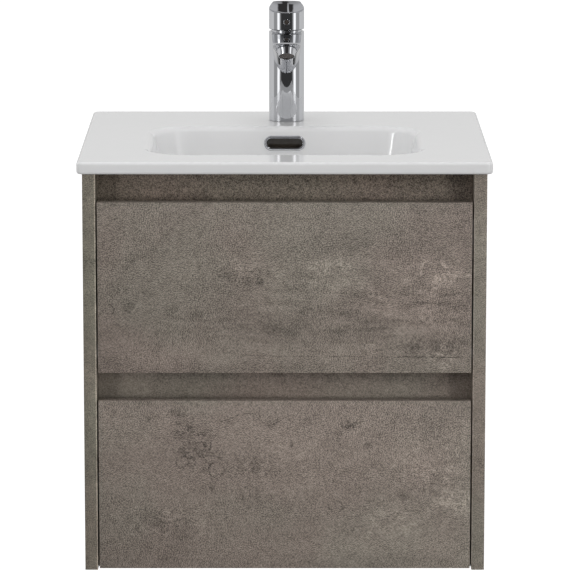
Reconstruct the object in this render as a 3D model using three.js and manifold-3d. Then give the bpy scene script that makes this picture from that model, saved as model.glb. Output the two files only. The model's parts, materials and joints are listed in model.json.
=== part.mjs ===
// Wall-hung bathroom vanity: a two-drawer cabinet, a ceramic furniture basin and a single-lever mixer.
// Millimetres, +Z up, +X to the right seen from the front, the front faces -Y and the wall is the plane y = 0.
// The origin is the middle of the steel wall rail's back face.
import * as THREE from "three";
import { mergeVertices } from "three/addons/utils/BufferGeometryUtils.js";
import Module from "manifold-3d";

const wasm = await Module();
wasm.setup();

// ---------------------------------------------------------------- driving dimensions
const GAP = 0.3; // clearance between pieces that touch

// cabinet
const W = 500; // outside width
const H = 502; // side panel height
const D = 460; // side panel depth
const T = 16; // board thickness
const TOP = 85; // height of the cabinet's top edge above the wall rail's middle
const INNER = W / 2 - T; // half the clear width
const RAIL_FACE = -423; // front face of the recessed grip rails
const FRONT_GAP = 2; // gap between a drawer front and a side panel

// drawer fronts, measured down from the cabinet's top edge
const FRONT_1 = [35.5, 250];
const FRONT_2 = [285.5, 500];

// drawer boxes
const BOX_HALF = INNER - 13; // half the outside width
const BOX_T = 12;
const BOX_FRONT = -(D - T) + GAP;
const BOX_BACK = -94;
const BOX_1 = [125, 230]; // from and to, down from the cabinet's top edge
const BOX_2 = [345, 470];
const NOTCH_HALF = 46; // the upper drawer's cut-out that passes the waste trap
const NOTCH_FRONT = -318;

// runners
const RUNNER_LEN = 350;
const RUNNER_1 = 180; // centre, down from the cabinet's top edge
const RUNNER_2 = 407;

// basin
const BASIN_W = 514;
const BASIN_D = 466;
const BASIN_T = 15.2;
const DECK = TOP + GAP + BASIN_T; // height of the basin's top surface
const BOWL_Y = -273.5; // centre of the bowl
const BOWL_A = 178.5; // half its width at the deck
const BOWL_B = 131.5; // half its depth at the deck
const BOWL_R = 60; // corner radius at the deck
const BOWL_DEPTH = 104; // at the waste
const WASTE_Y = -262;

// tap
const TAP_X = 2.5;
const TAP_Y = -85.5;
const TAP_R = 23.1;
const TAP_BODY_H = 118.5; // the column's height above the deck
const TAP_TOP_H = 155.8; // the closed handle's height above the deck
const SPOUT_REACH = 108;
const SPOUT_EDGE_H = 113.3; // height of the landing at the spout's front edge
const SPOUT_FALL = 0.0006; // the top falls by this times the square of the distance from the column
const OUTLET_REACH = 93.5; // where the flow regulator's axis meets the landing
const OUTLET_TILT = 30.5; // degrees from vertical, towards the user
const REGULATOR_LEN = 9.8; // how far it stands out of the landing
const DISH_R = 29.5; // the handle's dish: its radius from front to back, that arc's centre, and its radius across
const DISH_Y = -8.7;
const DISH_Z = 170.3;
const DISH_SIDE_R = 45;

// the landing is the flat that slopes back from the spout's front edge; the regulator stands square to it
const tilt = (OUTLET_TILT * Math.PI) / 180;
const landing = (reach) => SPOUT_EDGE_H - (SPOUT_REACH - reach) * Math.tan(tilt);
const OUTLET = [-OUTLET_REACH, landing(OUTLET_REACH)];

// ---------------------------------------------------------------- finishes
const finish = (color, roughness, metalness) => ({ color, roughness, metalness });
const LAMINATE = finish(0x7a7168, 0.55, 0);
const MELAMINE = finish(0xb4aea6, 0.6, 0);
const CERAMIC = finish(0xe6e6e4, 0.08, 0);
const CHROME = finish(0xd0d2d4, 0.06, 1);
const ZINC = finish(0xb8bcc0, 0.35, 1);
const PLASTIC = finish(0xe8e8e6, 0.4, 0);
const RUBBER = finish(0x26262a, 0.8, 0);
const BRASS = finish(0xc0a060, 0.3, 1);

// ---------------------------------------------------------------- helpers
const cabinet = new THREE.Group();
const down = (t) => TOP - t; // height of a level given down from the cabinet's top edge

function addTo(group, name, geometry, look, x = 0, y = 0, z = 0) {
  const mesh = new THREE.Mesh(geometry, new THREE.MeshStandardMaterial(look));
  mesh.name = name;
  mesh.position.set(x, y, z);
  group.add(mesh);
  return mesh;
}

// a rectangular board between two corners
function board(group, name, x, y, z, look) {
  const g = new THREE.BoxGeometry(x[1] - x[0], y[1] - y[0], z[1] - z[0]);
  return addTo(group, name, g, look, (x[0] + x[1]) / 2, (y[0] + y[1]) / 2, (z[0] + z[1]) / 2);
}

// a geometry as a solid that can be joined and cut
function solid(geometry, matrix) {
  const g = geometry.index ? geometry.toNonIndexed() : geometry.clone();
  g.deleteAttribute("normal");
  g.deleteAttribute("uv");
  if (matrix) g.applyMatrix4(matrix);
  const m = mergeVertices(g, 1e-4);
  return new wasm.Manifold(
    new wasm.Mesh({
      numProp: 3,
      vertProperties: new Float32Array(m.attributes.position.array),
      triVerts: new Uint32Array(m.index.array),
    }),
  );
}

function geometryOf(s) {
  const m = s.getMesh();
  const n = m.numProp;
  const v = new Float32Array(m.numVert * 3);
  for (let i = 0; i < m.numVert; i++) v.set(m.vertProperties.subarray(i * n, i * n + 3), i * 3);
  const g = new THREE.BufferGeometry();
  g.setAttribute("position", new THREE.BufferAttribute(v, 3));
  g.setIndex(new THREE.BufferAttribute(new Uint32Array(m.triVerts), 1));
  g.computeVertexNormals();
  return g;
}

const at = (x, y, z, rx = 0, ry = 0, rz = 0) =>
  new THREE.Matrix4().compose(
    new THREE.Vector3(x, y, z),
    new THREE.Quaternion().setFromEuler(new THREE.Euler(rx, ry, rz)),
    new THREE.Vector3(1, 1, 1),
  );

const blockGeo = (x, y, z) => {
  const g = new THREE.BoxGeometry(x[1] - x[0], y[1] - y[0], z[1] - z[0]);
  g.translate((x[0] + x[1]) / 2, (y[0] + y[1]) / 2, (z[0] + z[1]) / 2);
  return g;
};
const block = (x, y, z) => solid(blockGeo(x, y, z));

// a cylinder standing on z0
const rod = (r, z0, z1, x = 0, y = 0, seg = 32) => {
  const g = new THREE.CylinderGeometry(r, r, z1 - z0, seg);
  g.rotateX(Math.PI / 2);
  g.translate(x, y, (z0 + z1) / 2);
  return solid(g);
};

// a profile of [radius, height] points turned about Z
function turned(points, seg = 32) {
  const g = new THREE.LatheGeometry(points.map(([r, z]) => new THREE.Vector2(r, z)), seg);
  g.rotateX(Math.PI / 2);
  return g;
}

// a ring of rectangular section
const ring = (r0, r1, z0, z1, seg = 32) =>
  turned([[r0, z0], [r1, z0], [r1, z1], [r0, z1], [r0, z0]], seg);

// an outline in a plane, extruded along +Z of that plane
function prism(points, depth) {
  const s = new THREE.Shape(points.map(([x, y]) => new THREE.Vector2(x, y)));
  return new THREE.ExtrudeGeometry(s, { depth, bevelEnabled: false, steps: 1 });
}

// an outline of [y, z] points extruded along X from x0 to x1
function prismX(points, x0, x1) {
  const g = prism(points, x1 - x0);
  // plane (u, v, w) -> (w, u, v)
  g.applyMatrix4(new THREE.Matrix4().set(0, 0, 1, x0, 1, 0, 0, 0, 0, 1, 0, 0, 0, 0, 0, 1));
  return g;
}

// an outline of [x, z] points extruded along Y from y0 to y1
function prismY(points, y0, y1) {
  const g = prism(points.map(([x, z]) => [-x, z]), y1 - y0);
  // plane (u, v, w) -> (-u, w, v)
  g.applyMatrix4(new THREE.Matrix4().set(-1, 0, 0, 0, 0, 0, 1, y0, 0, 1, 0, 0, 0, 0, 0, 1));
  return g;
}

// a closed skin over a stack of rings that all have the same number of points, lowest ring first
function loft(rings) {
  const n = rings[0].length;
  const pts = rings.flat();
  const idx = [];
  for (let k = 0; k + 1 < rings.length; k++)
    for (let i = 0; i < n; i++) {
      const a = k * n + i;
      const b = k * n + ((i + 1) % n);
      idx.push(a, b, b + n, a, b + n, a + n);
    }
  const mid = (r) =>
    r.reduce((s, p) => [s[0] + p[0] / n, s[1] + p[1] / n, s[2] + p[2] / n], [0, 0, 0]);
  const c0 = pts.push(mid(rings[0])) - 1;
  const c1 = pts.push(mid(rings[rings.length - 1])) - 1;
  const last = (rings.length - 1) * n;
  for (let i = 0; i < n; i++) {
    const j = (i + 1) % n;
    idx.push(c0, j, i);
    idx.push(c1, last + i, last + j);
  }
  const g = new THREE.BufferGeometry();
  g.setAttribute("position", new THREE.Float32BufferAttribute(pts.flat(), 3));
  g.setIndex(idx);
  g.computeVertexNormals();
  return g;
}

// a rounded rectangle, anticlockwise from above, with the same point count whatever its radius
function roundedRect(a, b, r, cx, cy, z, perCorner = 7) {
  const out = [];
  const c = [
    [a - r, b - r, 0],
    [-(a - r), b - r, 90],
    [-(a - r), -(b - r), 180],
    [a - r, -(b - r), 270],
  ];
  for (const [x, y, t0] of c)
    for (let i = 0; i < perCorner; i++) {
      const t = ((t0 + (90 * i) / (perCorner - 1)) * Math.PI) / 180;
      out.push([cx + x + r * Math.cos(t), cy + y + r * Math.sin(t), z]);
    }
  return out;
}

// a slot outline with round ends, in a plane
function slotOutline(halfW, halfH, per = 8) {
  const out = [];
  const c = halfW - halfH;
  for (let i = 0; i <= per; i++) {
    const t = -Math.PI / 2 + (Math.PI * i) / per;
    out.push([c + halfH * Math.cos(t), halfH * Math.sin(t)]);
  }
  for (let i = 0; i <= per; i++) {
    const t = Math.PI / 2 + (Math.PI * i) / per;
    out.push([-c + halfH * Math.cos(t), halfH * Math.sin(t)]);
  }
  return out;
}

const sides = [["left", -1], ["right", 1]];

// ---------------------------------------------------------------- carcass
for (const [side, s] of sides) {
  const x = s < 0 ? [-W / 2, -INNER] : [INNER, W / 2];
  board(cabinet, "side_panel_" + side, x, [-D, 0], [down(H), TOP], LAMINATE);
}
const between = [-INNER + GAP, INNER - GAP];
board(cabinet, "bottom_panel", between, [-(D - 18), -8], [down(H), down(H - T)], LAMINATE);
board(cabinet, "top_grip_rail", between, [RAIL_FACE, RAIL_FACE + T], [down(62), down(0)], LAMINATE);
board(cabinet, "middle_grip_rail", between, [RAIL_FACE, RAIL_FACE + T], [down(303), down(241)], LAMINATE);
board(cabinet, "rear_top_rail", between, [-T - 1, -1], [down(50), down(0)], LAMINATE);
board(cabinet, "rear_bottom_rail", between, [-T - 1, -1], [down(462), down(400)], LAMINATE);

// ---------------------------------------------------------------- hanging hardware
// A steel strip on the wall with an upturned lip; a hook on each side panel drops behind the lip.
const wallRail = solid(
  prismX(
    [
      [0, -15], [0, 15], [-6.5, 15], [-6.5, 27], [-9, 27], [-9, 12.5], [-2.5, 12.5], [-2.5, -15],
    ].reverse(),
    -228,
    228,
  ),
);
let railCut = wallRail;
for (const x of [-190, -95, 95, 190]) {
  const slot = prismY(slotOutline(12, 3.5, 6), -20, 20);
  railCut = railCut.subtract(solid(slot, at(x, 0, -3)));
}
addTo(cabinet, "wall_rail", geometryOf(railCut), ZINC);

for (const [side, s] of sides) {
  const hook = [
    [-60, -30], [-12, -30], [-12, 28], [-6.1, 28], [-6.1, 16.5], [-2.9, 16.5], [-2.9, 32], [-60, 32],
  ];
  const g = prismX(hook, 219, INNER - GAP);
  if (s < 0) g.translate(-(219 + INNER - GAP), 0, 0);
  addTo(cabinet, "hanger_bracket_" + side, g, ZINC);
}

// ---------------------------------------------------------------- basin
// Levels of the bowl: [depth below the deck, inset from the opening's outline].
const bowlLevels = (() => {
  const out = [];
  const R = 10;
  const wall = (75 * Math.PI) / 180;
  for (const deg of [0, 25, 50, 75]) {
    const p = (deg * Math.PI) / 180;
    out.push([R * (1 - Math.cos(p)), R * Math.sin(p)]);
  }
  const [d0, s0] = out[out.length - 1];
  out.push([68, s0 + (68 - d0) / Math.tan(wall)]);
  const [d1, s1] = out[out.length - 1];
  const F = 34;
  for (const deg of [50, 27, 5]) {
    const p = (deg * Math.PI) / 180;
    out.push([d1 + F * (Math.cos(p) - Math.cos(wall)), s1 + F * (Math.sin(wall) - Math.sin(p))]);
  }
  return out;
})();
const outline = (inset, z, grow = 0) => {
  const k = inset - grow;
  return roundedRect(BOWL_A - k, BOWL_B - k, Math.max(BOWL_R - 0.75 * k, 12), 0, BOWL_Y, z);
};
// a ring round the waste with the same point count and order as the bowl's outline
const wasteRing = (r, z) =>
  Array.from({ length: 28 }, (_, i) => {
    const t = ((i + 0.5) * 2 * Math.PI) / 28;
    return [r * Math.cos(t), WASTE_Y + r * Math.sin(t), z];
  });
const bowlInside = [
  wasteRing(33, DECK - BOWL_DEPTH),
  ...bowlLevels.slice().reverse().map(([d, s]) => outline(s, DECK - d)),
  outline(0, DECK + 5),
];
const SHELL = 9;
const bowlOutside = [
  wasteRing(40, DECK - BOWL_DEPTH - 12),
  ...bowlLevels.slice(4).reverse().map(([d, s]) => outline(s, DECK - d - (d > 80 ? SHELL : 3), SHELL - 0.5)),
  outline(12, DECK - 8, SHELL),
];
// the deck: a rounded slab whose upper edge is rolled over
const slab = (inset, z, r = 5) =>
  roundedRect(BASIN_W / 2 - inset, BASIN_D / 2 - inset, Math.max(r - inset, 1), 0, -BASIN_D / 2, z, 7);
const deckSlab = solid(
  loft([
    slab(1.2, TOP + GAP),
    slab(0, TOP + GAP + 2),
    slab(0, DECK - 3),
    slab(0.9, DECK - 0.9),
    slab(3, DECK),
  ]),
);
let basin = deckSlab.add(solid(loft(bowlOutside)));
// overflow duct on the outside of the bowl's rear wall, down to the waste
basin = basin.add(block([-35, 35], [-172, -132], [down(78), TOP + 5]));
basin = basin.add(
  solid(
    loft([
      roundedRect(30, 62, 20, 0, WASTE_Y + 40, down(109)),
      roundedRect(35, 66, 20, 0, WASTE_Y + 44, down(101)),
      roundedRect(35, 66, 20, 0, WASTE_Y + 64, down(76)),
    ]),
  ),
);
basin = basin.subtract(solid(loft(bowlInside)));
// the duct's passage: slot in the bowl's rear wall, down behind it, forward under the floor
const OVERFLOW_Z = DECK - 21.5;
basin = basin.subtract(solid(prismY(slotOutline(26.6, 8.7), -175, -141), at(0, 0, OVERFLOW_Z)));
basin = basin.subtract(block([-26, 26], [-149.5, -141], [down(104), OVERFLOW_Z - 2]));
basin = basin.subtract(block([-14, 14], [WASTE_Y, -141], [down(104), down(98)]));
// waste hole and tap hole
basin = basin.subtract(rod(22.5, down(120), DECK - 50, 0, WASTE_Y));
basin = basin.subtract(rod(17.5, TOP - 10, DECK + 10, TAP_X, TAP_Y));
addTo(cabinet, "basin", geometryOf(basin), CERAMIC);

// chrome insert of the overflow: a slot-shaped flange with a short sleeve, following the rear wall's slope
{
  const flange = solid(prismY(slotOutline(27.4, 10.2), 0, 2.2));
  const sleeve = solid(prismY(slotOutline(25.8, 7.4), 1, 6));
  const hole = solid(prismY(slotOutline(24.5, 6.3), -5, 20));
  const g = geometryOf(flange.add(sleeve).subtract(hole));
  const m = addTo(cabinet, "overflow_ring", g, CHROME, 0, -157.9, OVERFLOW_Z + 0.7);
  m.rotation.x = (-15 * Math.PI) / 180;
}

// ---------------------------------------------------------------- waste and trap
const waste = new THREE.Group();
waste.position.set(0, WASTE_Y, 0);
cabinet.add(waste);
const FLOOR = DECK - BOWL_DEPTH; // bowl floor at the waste
{
  // threaded tube with a flange, a window for the overflow duct and a spider that guides the plug
  let s = solid(
    turned([
      [18, down(150)], [20.5, down(150)], [20.5, FLOOR + 0.4], [31.5, FLOOR + 0.6], [31.5, FLOOR + 1.6],
      [29.5, FLOOR + 3], [18, FLOOR + 3], [18, down(150)],
    ], 40),
  );
  s = s.subtract(block([-12, 12], [8, 24], [down(103.5), down(98.5)]));
  const spider = block([-19, 19], [-4, 4], [down(128), down(123)]).add(rod(9, down(128), down(123), 0, 0, 24));
  s = s.add(spider.subtract(rod(6.4, down(140), down(110), 0, 0, 24)));
  addTo(waste, "waste_body", geometryOf(s), CHROME);
}
addTo(waste, "waste_gasket", ring(21.2, 29, down(109.3 + 3), down(109.3), 32), RUBBER);
{
  const hex = prism(Array.from({ length: 6 }, (_, i) => {
    const t = (i * Math.PI) / 3;
    return [31 * Math.cos(t), 31 * Math.sin(t)];
  }), 8);
  hex.translate(0, 0, down(120.6));
  addTo(waste, "waste_nut", geometryOf(solid(hex).subtract(rod(21, down(130), down(100)))), BRASS);
}
addTo(
  waste,
  "trap_inlet_nut",
  turned([
    [17.2, down(160)], [25.5, down(160)], [26.5, down(158)], [26.5, down(139)], [25, down(137)], [21, down(137)],
    [21, down(155)], [17.2, down(155)], [17.2, down(160)],
  ], 32),
  PLASTIC,
);
addTo(
  waste,
  "trap_inlet_tube",
  turned([
    [14.3, down(244)], [16, down(244)], [16, down(154.4)], [20.3, down(154.4)], [20.3, down(150.6)],
    [14.3, down(150.6)], [14.3, down(244)],
  ], 32),
  PLASTIC,
);
{
  let s = solid(
    turned([
      [28, down(222)], [32, down(222)], [32, down(186)], [27, down(181)], [23, down(180)], [23, down(170)],
      [16.6, down(170)], [16.6, down(184)], [26, down(185)], [28, down(188)], [28, down(222)],
    ], 40),
  );
  const stub = new THREE.CylinderGeometry(19.4, 19.4, 32, 28);
  const bore = new THREE.CylinderGeometry(16.6, 16.6, 44, 28);
  s = s.add(solid(stub, at(0, 42, down(202))).subtract(rod(28, down(230), down(187))));
  s = s.subtract(solid(bore, at(0, 46, down(202))));
  addTo(waste, "trap_body", geometryOf(s), PLASTIC);
}
addTo(
  waste,
  "trap_cup",
  turned([
    [0, down(270)], [22, down(270)], [29, down(266)], [32, down(259)], [32, down(222.4)], [29, down(222.4)],
    [29, down(258)], [26.5, down(263)], [21, down(267)], [0, down(267)],
  ], 40),
  PLASTIC,
);
{
  const pipe = new THREE.LatheGeometry(
    [[14.4, 34], [16, 34], [16, -WASTE_Y - 0.5], [14.4, -WASTE_Y - 0.5], [14.4, 34]].map(([r, y]) => new THREE.Vector2(r, y)),
    28,
  );
  addTo(waste, "trap_outlet_pipe", pipe, PLASTIC, 0, 0, down(202));
  const nut = new THREE.LatheGeometry(
    [[16.5, 58.4], [24, 58.4], [24, 74], [16.5, 74], [16.5, 58.4]].map(([r, y]) => new THREE.Vector2(r, y)),
    24,
  );
  addTo(waste, "trap_outlet_nut", nut, PLASTIC, 0, 0, down(202));
  const rosette = new THREE.LatheGeometry(
    [[16.5, -9], [18, -10], [33, -3], [35, -0.5], [16.5, -0.5], [16.5, -9]].map(([r, y]) => new THREE.Vector2(r, y - WASTE_Y)),
    32,
  );
  addTo(waste, "wall_rosette", rosette, CHROME, 0, 0, down(202));
}
addTo(
  waste,
  "waste_plug",
  turned([
    [0, down(134)], [6, down(134)], [6, FLOOR + 3.4], [28.5, FLOOR + 3.4], [29.5, FLOOR + 4.6], [28.5, FLOOR + 6.4],
    [20, FLOOR + 7.6], [0, FLOOR + 8.2],
  ], 40),
  CHROME,
);

// ---------------------------------------------------------------- mixer
const tap = new THREE.Group();
tap.position.set(TAP_X, TAP_Y, DECK);
cabinet.add(tap);
addTo(tap, "tap_base_gasket", ring(18.5, 21.4, 0.3, 1.8, 36), RUBBER);
{
  // column, with a groove for the gasket in its underside
  const B = TAP_BODY_H;
  let s = solid(
    turned([
      [0, 0.3], [18.2, 0.3], [18.2, 2.1], [21.7, 2.1], [21.7, 0.3], [TAP_R - 0.4, 0.3], [TAP_R, 0.7],
      [TAP_R, B - 0.8], [TAP_R - 0.8, B], [0, B],
    ], 48),
  );
  // the spout: a wedge with a slightly crowned top and a round underside that rises from the column to the front edge
  const section = (y, half, zTop, zLow) => {
    const out = [];
    const n = 22;
    for (let i = 0; i <= n; i++) {
      const t = Math.PI + (Math.PI * i) / n;
      out.push([half * Math.cos(t), y, zTop - 1.2 + (zTop - 1.2 - zLow) * Math.sin(t)]);
    }
    out.push([half - 1.2, y, zTop], [-(half - 1.2), y, zTop]);
    return out;
  };
  const zAt = (reach) => B - 0.2 - SPOUT_FALL * Math.max(reach - TAP_R, 0) ** 2;
  let spout = solid(
    loft(
      // reach, half width, height of the round underside
      [
        [6, 20.6, 56], [TAP_R, 20.6, 65], [34, 20.6, 71.1], [45, 20.5, 77], [60, 20.2, 85.2], [72, 19.9, 90.4],
        [84, 19.5, 95.2], [92, 18.9, 98.3], [98, 17.9, 100.6], [103, 16.6, 102.4], [106, 15.3, 103.6], [SPOUT_REACH, 13.8, 104.3],
      ].map(([reach, half, low]) => section(-reach, half, zAt(reach), low)),
    ),
  );
  // the landing cuts the underside flat round the regulator
  const back = landing(30);
  spout = spout.subtract(solid(prismX([
    [-SPOUT_REACH - 8, landing(SPOUT_REACH + 8)], [-SPOUT_REACH - 8, 20], [-30, 20], [-30, back],
  ], -40, 40)));
  s = s.add(spout);
  // seat of the flow regulator, sunk square into the landing
  const seat = new THREE.CylinderGeometry(9.3, 9.3, 8, 28);
  seat.rotateX(Math.PI / 2);
  seat.translate(0, 0, -1.4);
  s = s.subtract(solid(seat, at(0, OUTLET[0], OUTLET[1], -tilt)));
  // cartridge seat, inlet ports and stud hole
  s = s.subtract(rod(17.9, B - 50, B - 8, 0, 0, 36)).subtract(rod(20.3, B - 8.2, B + 5, 0, 0, 36));
  for (const x of [-9, 9]) s = s.subtract(rod(5, -5, 14, x, 3, 16));
  s = s.subtract(rod(4.4, -5, 22, 0, -10, 16));
  addTo(tap, "tap_body", geometryOf(s), CHROME);
}
{
  // flow regulator: a slightly tapered sleeve that stands out of the landing, with a recessed screen
  const L = REGULATOR_LEN;
  const g = turned([
    [0, 1.4 - L], [9.6, 1.4 - L], [9.6, -L], [10.2, -L], [10.5, 0.3 - L], [12.2, -0.3], [9, -0.3], [9, 2.3], [0, 2.3],
  ], 36);
  const m = addTo(tap, "flow_regulator", g, CHROME, 0, OUTLET[0], OUTLET[1]);
  m.rotation.x = -tilt;
}
addTo(tap, "mixing_cartridge", turned([
  [0, TAP_BODY_H - 49.5], [17.5, TAP_BODY_H - 49.5], [17.5, TAP_BODY_H - 8.6], [0, TAP_BODY_H - 8.6],
], 32), PLASTIC);
addTo(tap, "cartridge_ring", ring(12.2, 20, TAP_BODY_H - 7.8, TAP_BODY_H + 2, 36), CHROME);
addTo(tap, "tap_stud", geometryOf(rod(4, -42, 20, 0, -10, 16)), ZINC);
{
  // horseshoe washer under the deck, open towards the wall for the inlets
  const s = rod(27, -BASIN_T - 3.6, -BASIN_T - 0.6, 0, 0, 32)
    .subtract(block([-14, 14], [-5, 40], [-30, 0]))
    .subtract(rod(4.4, -30, 0, 0, -10, 16));
  addTo(tap, "tap_clamp_washer", geometryOf(s), ZINC);
  const hex = prism(Array.from({ length: 6 }, (_, i) => {
    const t = (i * Math.PI) / 3;
    return [7.5 * Math.cos(t), 7.5 * Math.sin(t)];
  }), 8);
  hex.translate(0, -10, -BASIN_T - 12);
  addTo(tap, "tap_stud_nut", geometryOf(solid(hex).subtract(rod(4.4, -50, 0, 0, -10, 16))), BRASS);
}
// the swivelling carrier on top of the cartridge, and the lever pin that tilts in it
addTo(tap, "cartridge_carrier", ring(8.4, 11.8, TAP_BODY_H - 7.9, TAP_BODY_H - 1, 28), PLASTIC);
addTo(tap, "cartridge_lever", geometryOf(
  rod(4.2, TAP_BODY_H - 6, TAP_BODY_H + 1, 0, 0, 16).add(block([-4, 4], [-4, 4], [TAP_BODY_H + 0.5, TAP_BODY_H + 15])),
), BRASS);
{
  // handle: a cap of the column's diameter, dished on top and cut back under its rear
  const z0 = TAP_BODY_H + 3;
  const z1 = TAP_TOP_H;
  let s = solid(turned([
    [0, z0], [TAP_R - 0.5, z0], [TAP_R, z0 + 0.5], [TAP_R, z1 - 0.6], [TAP_R - 0.6, z1], [0, z1],
  ], 48));
  // the dish is round from front to back and from side to side, and leaves a flat crescent at the rear
  const dish = (x, y) => {
    const mid = DISH_Z - Math.sqrt(Math.max(DISH_R ** 2 - (y - DISH_Y) ** 2, 0));
    return mid + DISH_SIDE_R - Math.sqrt(DISH_SIDE_R ** 2 - x ** 2);
  };
  const steps = 48;
  const around = (r, z) => Array.from({ length: steps }, (_, i) => {
    const t = (2 * Math.PI * (i + 0.5)) / steps;
    const x = r * Math.cos(t), y = r * Math.sin(t);
    return [x, y, z ?? dish(x, y)];
  });
  s = s.subtract(solid(loft([
    ...[1.5, 5, 8.5, 12, 15, 17.5, 19.5, 21.5, 23.4].map((r) => around(r)), around(23.4, z1 + 40),
  ])));
  // underside cut back behind the tilting axis
  s = s.subtract(solid(prismX([[0, z0 - 4], [40, z0 - 4], [40, z0 + 40 * Math.tan((27 * Math.PI) / 180)], [0, z0]], -40, 40)));
  // socket for the lever pin, set screw hole and indicator seat
  s = s.subtract(block([-4.4, 4.4], [-4.4, 4.4], [z0 - 5, TAP_BODY_H + 15.4]));
  const screwHole = new THREE.CylinderGeometry(2.9, 2.9, 24, 16);
  s = s.subtract(solid(screwHole, at(0, -14, z0 + 10.5)));
  const seat = new THREE.CylinderGeometry(4.9, 4.9, 8, 24);
  s = s.subtract(solid(seat, at(0, -TAP_R + 0.2, z0 + 10.5)));
  addTo(tap, "tap_handle", geometryOf(s), CHROME);
  const screw = new THREE.CylinderGeometry(2.5, 2.5, 13, 16);
  addTo(tap, "handle_set_screw", geometryOf(solid(screw, at(0, -11.6, z0 + 10.5))), ZINC);
  const cap = new THREE.LatheGeometry(
    [[0, 0], [4.5, 0], [4.5, 3.2], [4.1, 3.6], [2.9, 3.6], [2.6, 3.2], [0, 3.2]].map(([r, y]) => new THREE.Vector2(r, y)),
    28,
  );
  const m = addTo(tap, "handle_indicator", cap, CHROME, 0, -18.9, z0 + 10.5);
  m.rotation.x = Math.PI;
}

// ---------------------------------------------------------------- runners
// Three nested C-sections a side. u runs from the side panel's inner face towards the drawer, v is height.
const C_OUTER = [[0.3, -22.5], [9.5, -22.5], [9.5, -18.8], [8.3, -18.8], [8.3, -21.3], [1.5, -21.3], [1.5, 21.3],
  [8.3, 21.3], [8.3, 18.8], [9.5, 18.8], [9.5, 22.5], [0.3, 22.5]];
const C_MIDDLE = [[2.9, -17.2], [10.9, -17.2], [10.9, -13.4], [9.7, -13.4], [9.7, -16], [4.1, -16], [4.1, 16],
  [9.7, 16], [9.7, 13.4], [10.9, 13.4], [10.9, 17.2], [2.9, 17.2]];
const C_INNER = [[12.7, -11.8], [12.7, 11.8], [5.3, 11.8], [5.3, 10.6], [11.5, 10.6], [11.5, -10.6], [5.3, -10.6], [5.3, -11.8]];
const drawers = [["upper", RUNNER_1, BOX_1], ["lower", RUNNER_2, BOX_2]];
for (const [row, t] of drawers)
  for (const [side, s] of sides)
    for (const [member, c] of [["cabinet", C_OUTER], ["middle", C_MIDDLE], ["drawer", C_INNER]]) {
      // mirrored outlines are turned round again so that they still run anticlockwise
      let pts = c.map(([u, v]) => [s * (INNER - u), v]);
      const area = pts.reduce((a, p, i) => {
        const q = pts[(i + 1) % pts.length];
        return a + p[0] * q[1] - q[0] * p[1];
      }, 0);
      if (area < 0) pts = pts.reverse();
      const g = prismY(pts, BOX_FRONT, BOX_FRONT + RUNNER_LEN);
      addTo(cabinet, `${row}_runner_${member}_${side}`, g, ZINC, 0, 0, down(t));
    }

// ---------------------------------------------------------------- drawers
const FRONT_HALF = INNER - FRONT_GAP;
for (const [row, t] of [["upper", FRONT_1], ["lower", FRONT_2]])
  board(cabinet, row + "_drawer_front", [-FRONT_HALF, FRONT_HALF], [-D, -(D - T)], [down(t[1]), down(t[0])], LAMINATE);
for (const [row, , t] of drawers)
  for (const [side, s] of sides) {
    const x = s < 0 ? [-BOX_HALF, -BOX_HALF + BOX_T] : [BOX_HALF - BOX_T, BOX_HALF];
    board(cabinet, `${row}_drawer_side_${side}`, x, [BOX_FRONT, BOX_BACK], [down(t[1]), down(t[0])], MELAMINE);
  }
const IN = BOX_HALF - BOX_T - GAP; // half the width between a drawer's sides
const FLOOR_T = 8;
{
  // upper drawer: its floor and back leave a rearward-open cut-out for the trap, lined with a U-shaped wall
  const z = [down(BOX_1[1] - 3), down(BOX_1[1] - 3 - FLOOR_T)];
  const floor = prism([
    [-IN, BOX_FRONT], [IN, BOX_FRONT], [IN, BOX_BACK], [NOTCH_HALF, BOX_BACK], [NOTCH_HALF, NOTCH_FRONT],
    [-NOTCH_HALF, NOTCH_FRONT], [-NOTCH_HALF, BOX_BACK], [-IN, BOX_BACK],
  ], FLOOR_T);
  addTo(cabinet, "upper_drawer_floor", floor, MELAMINE, 0, 0, z[0]);
  const n = NOTCH_HALF, m = NOTCH_HALF + 9, f = NOTCH_FRONT;
  const h = BOX_1[1] - 3 - FLOOR_T - GAP - BOX_1[0];
  const lining = prism([[-m, f - 9], [m, f - 9], [m, BOX_BACK], [n, BOX_BACK], [n, f], [-n, f], [-n, BOX_BACK], [-m, BOX_BACK]], h);
  addTo(cabinet, "upper_drawer_cutout_wall", lining, MELAMINE, 0, 0, z[1] + GAP);
  for (const [side, s] of sides) {
    const x = s < 0 ? [-IN, -m - GAP] : [m + GAP, IN];
    board(cabinet, "upper_drawer_back_" + side, x, [BOX_BACK - BOX_T, BOX_BACK], [z[1] + GAP, down(BOX_1[0])], MELAMINE);
  }
}
{
  const z = [down(BOX_2[1] - 3), down(BOX_2[1] - 3 - FLOOR_T)];
  board(cabinet, "lower_drawer_floor", [-IN, IN], [BOX_FRONT, BOX_BACK], z, MELAMINE);
  board(cabinet, "lower_drawer_back", [-IN, IN], [BOX_BACK - BOX_T, BOX_BACK], [z[1] + GAP, down(BOX_2[0])], MELAMINE);
}

export default cabinet;
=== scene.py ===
"""Looks of a wall-hung bathroom vanity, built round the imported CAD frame.
Metres, +Z up, +X to the right seen from the front, the front faces -Y and the wall is the plane y = 0."""

import json
import math

import bpy
import numpy as np
from mathutils import Matrix, Vector

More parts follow.
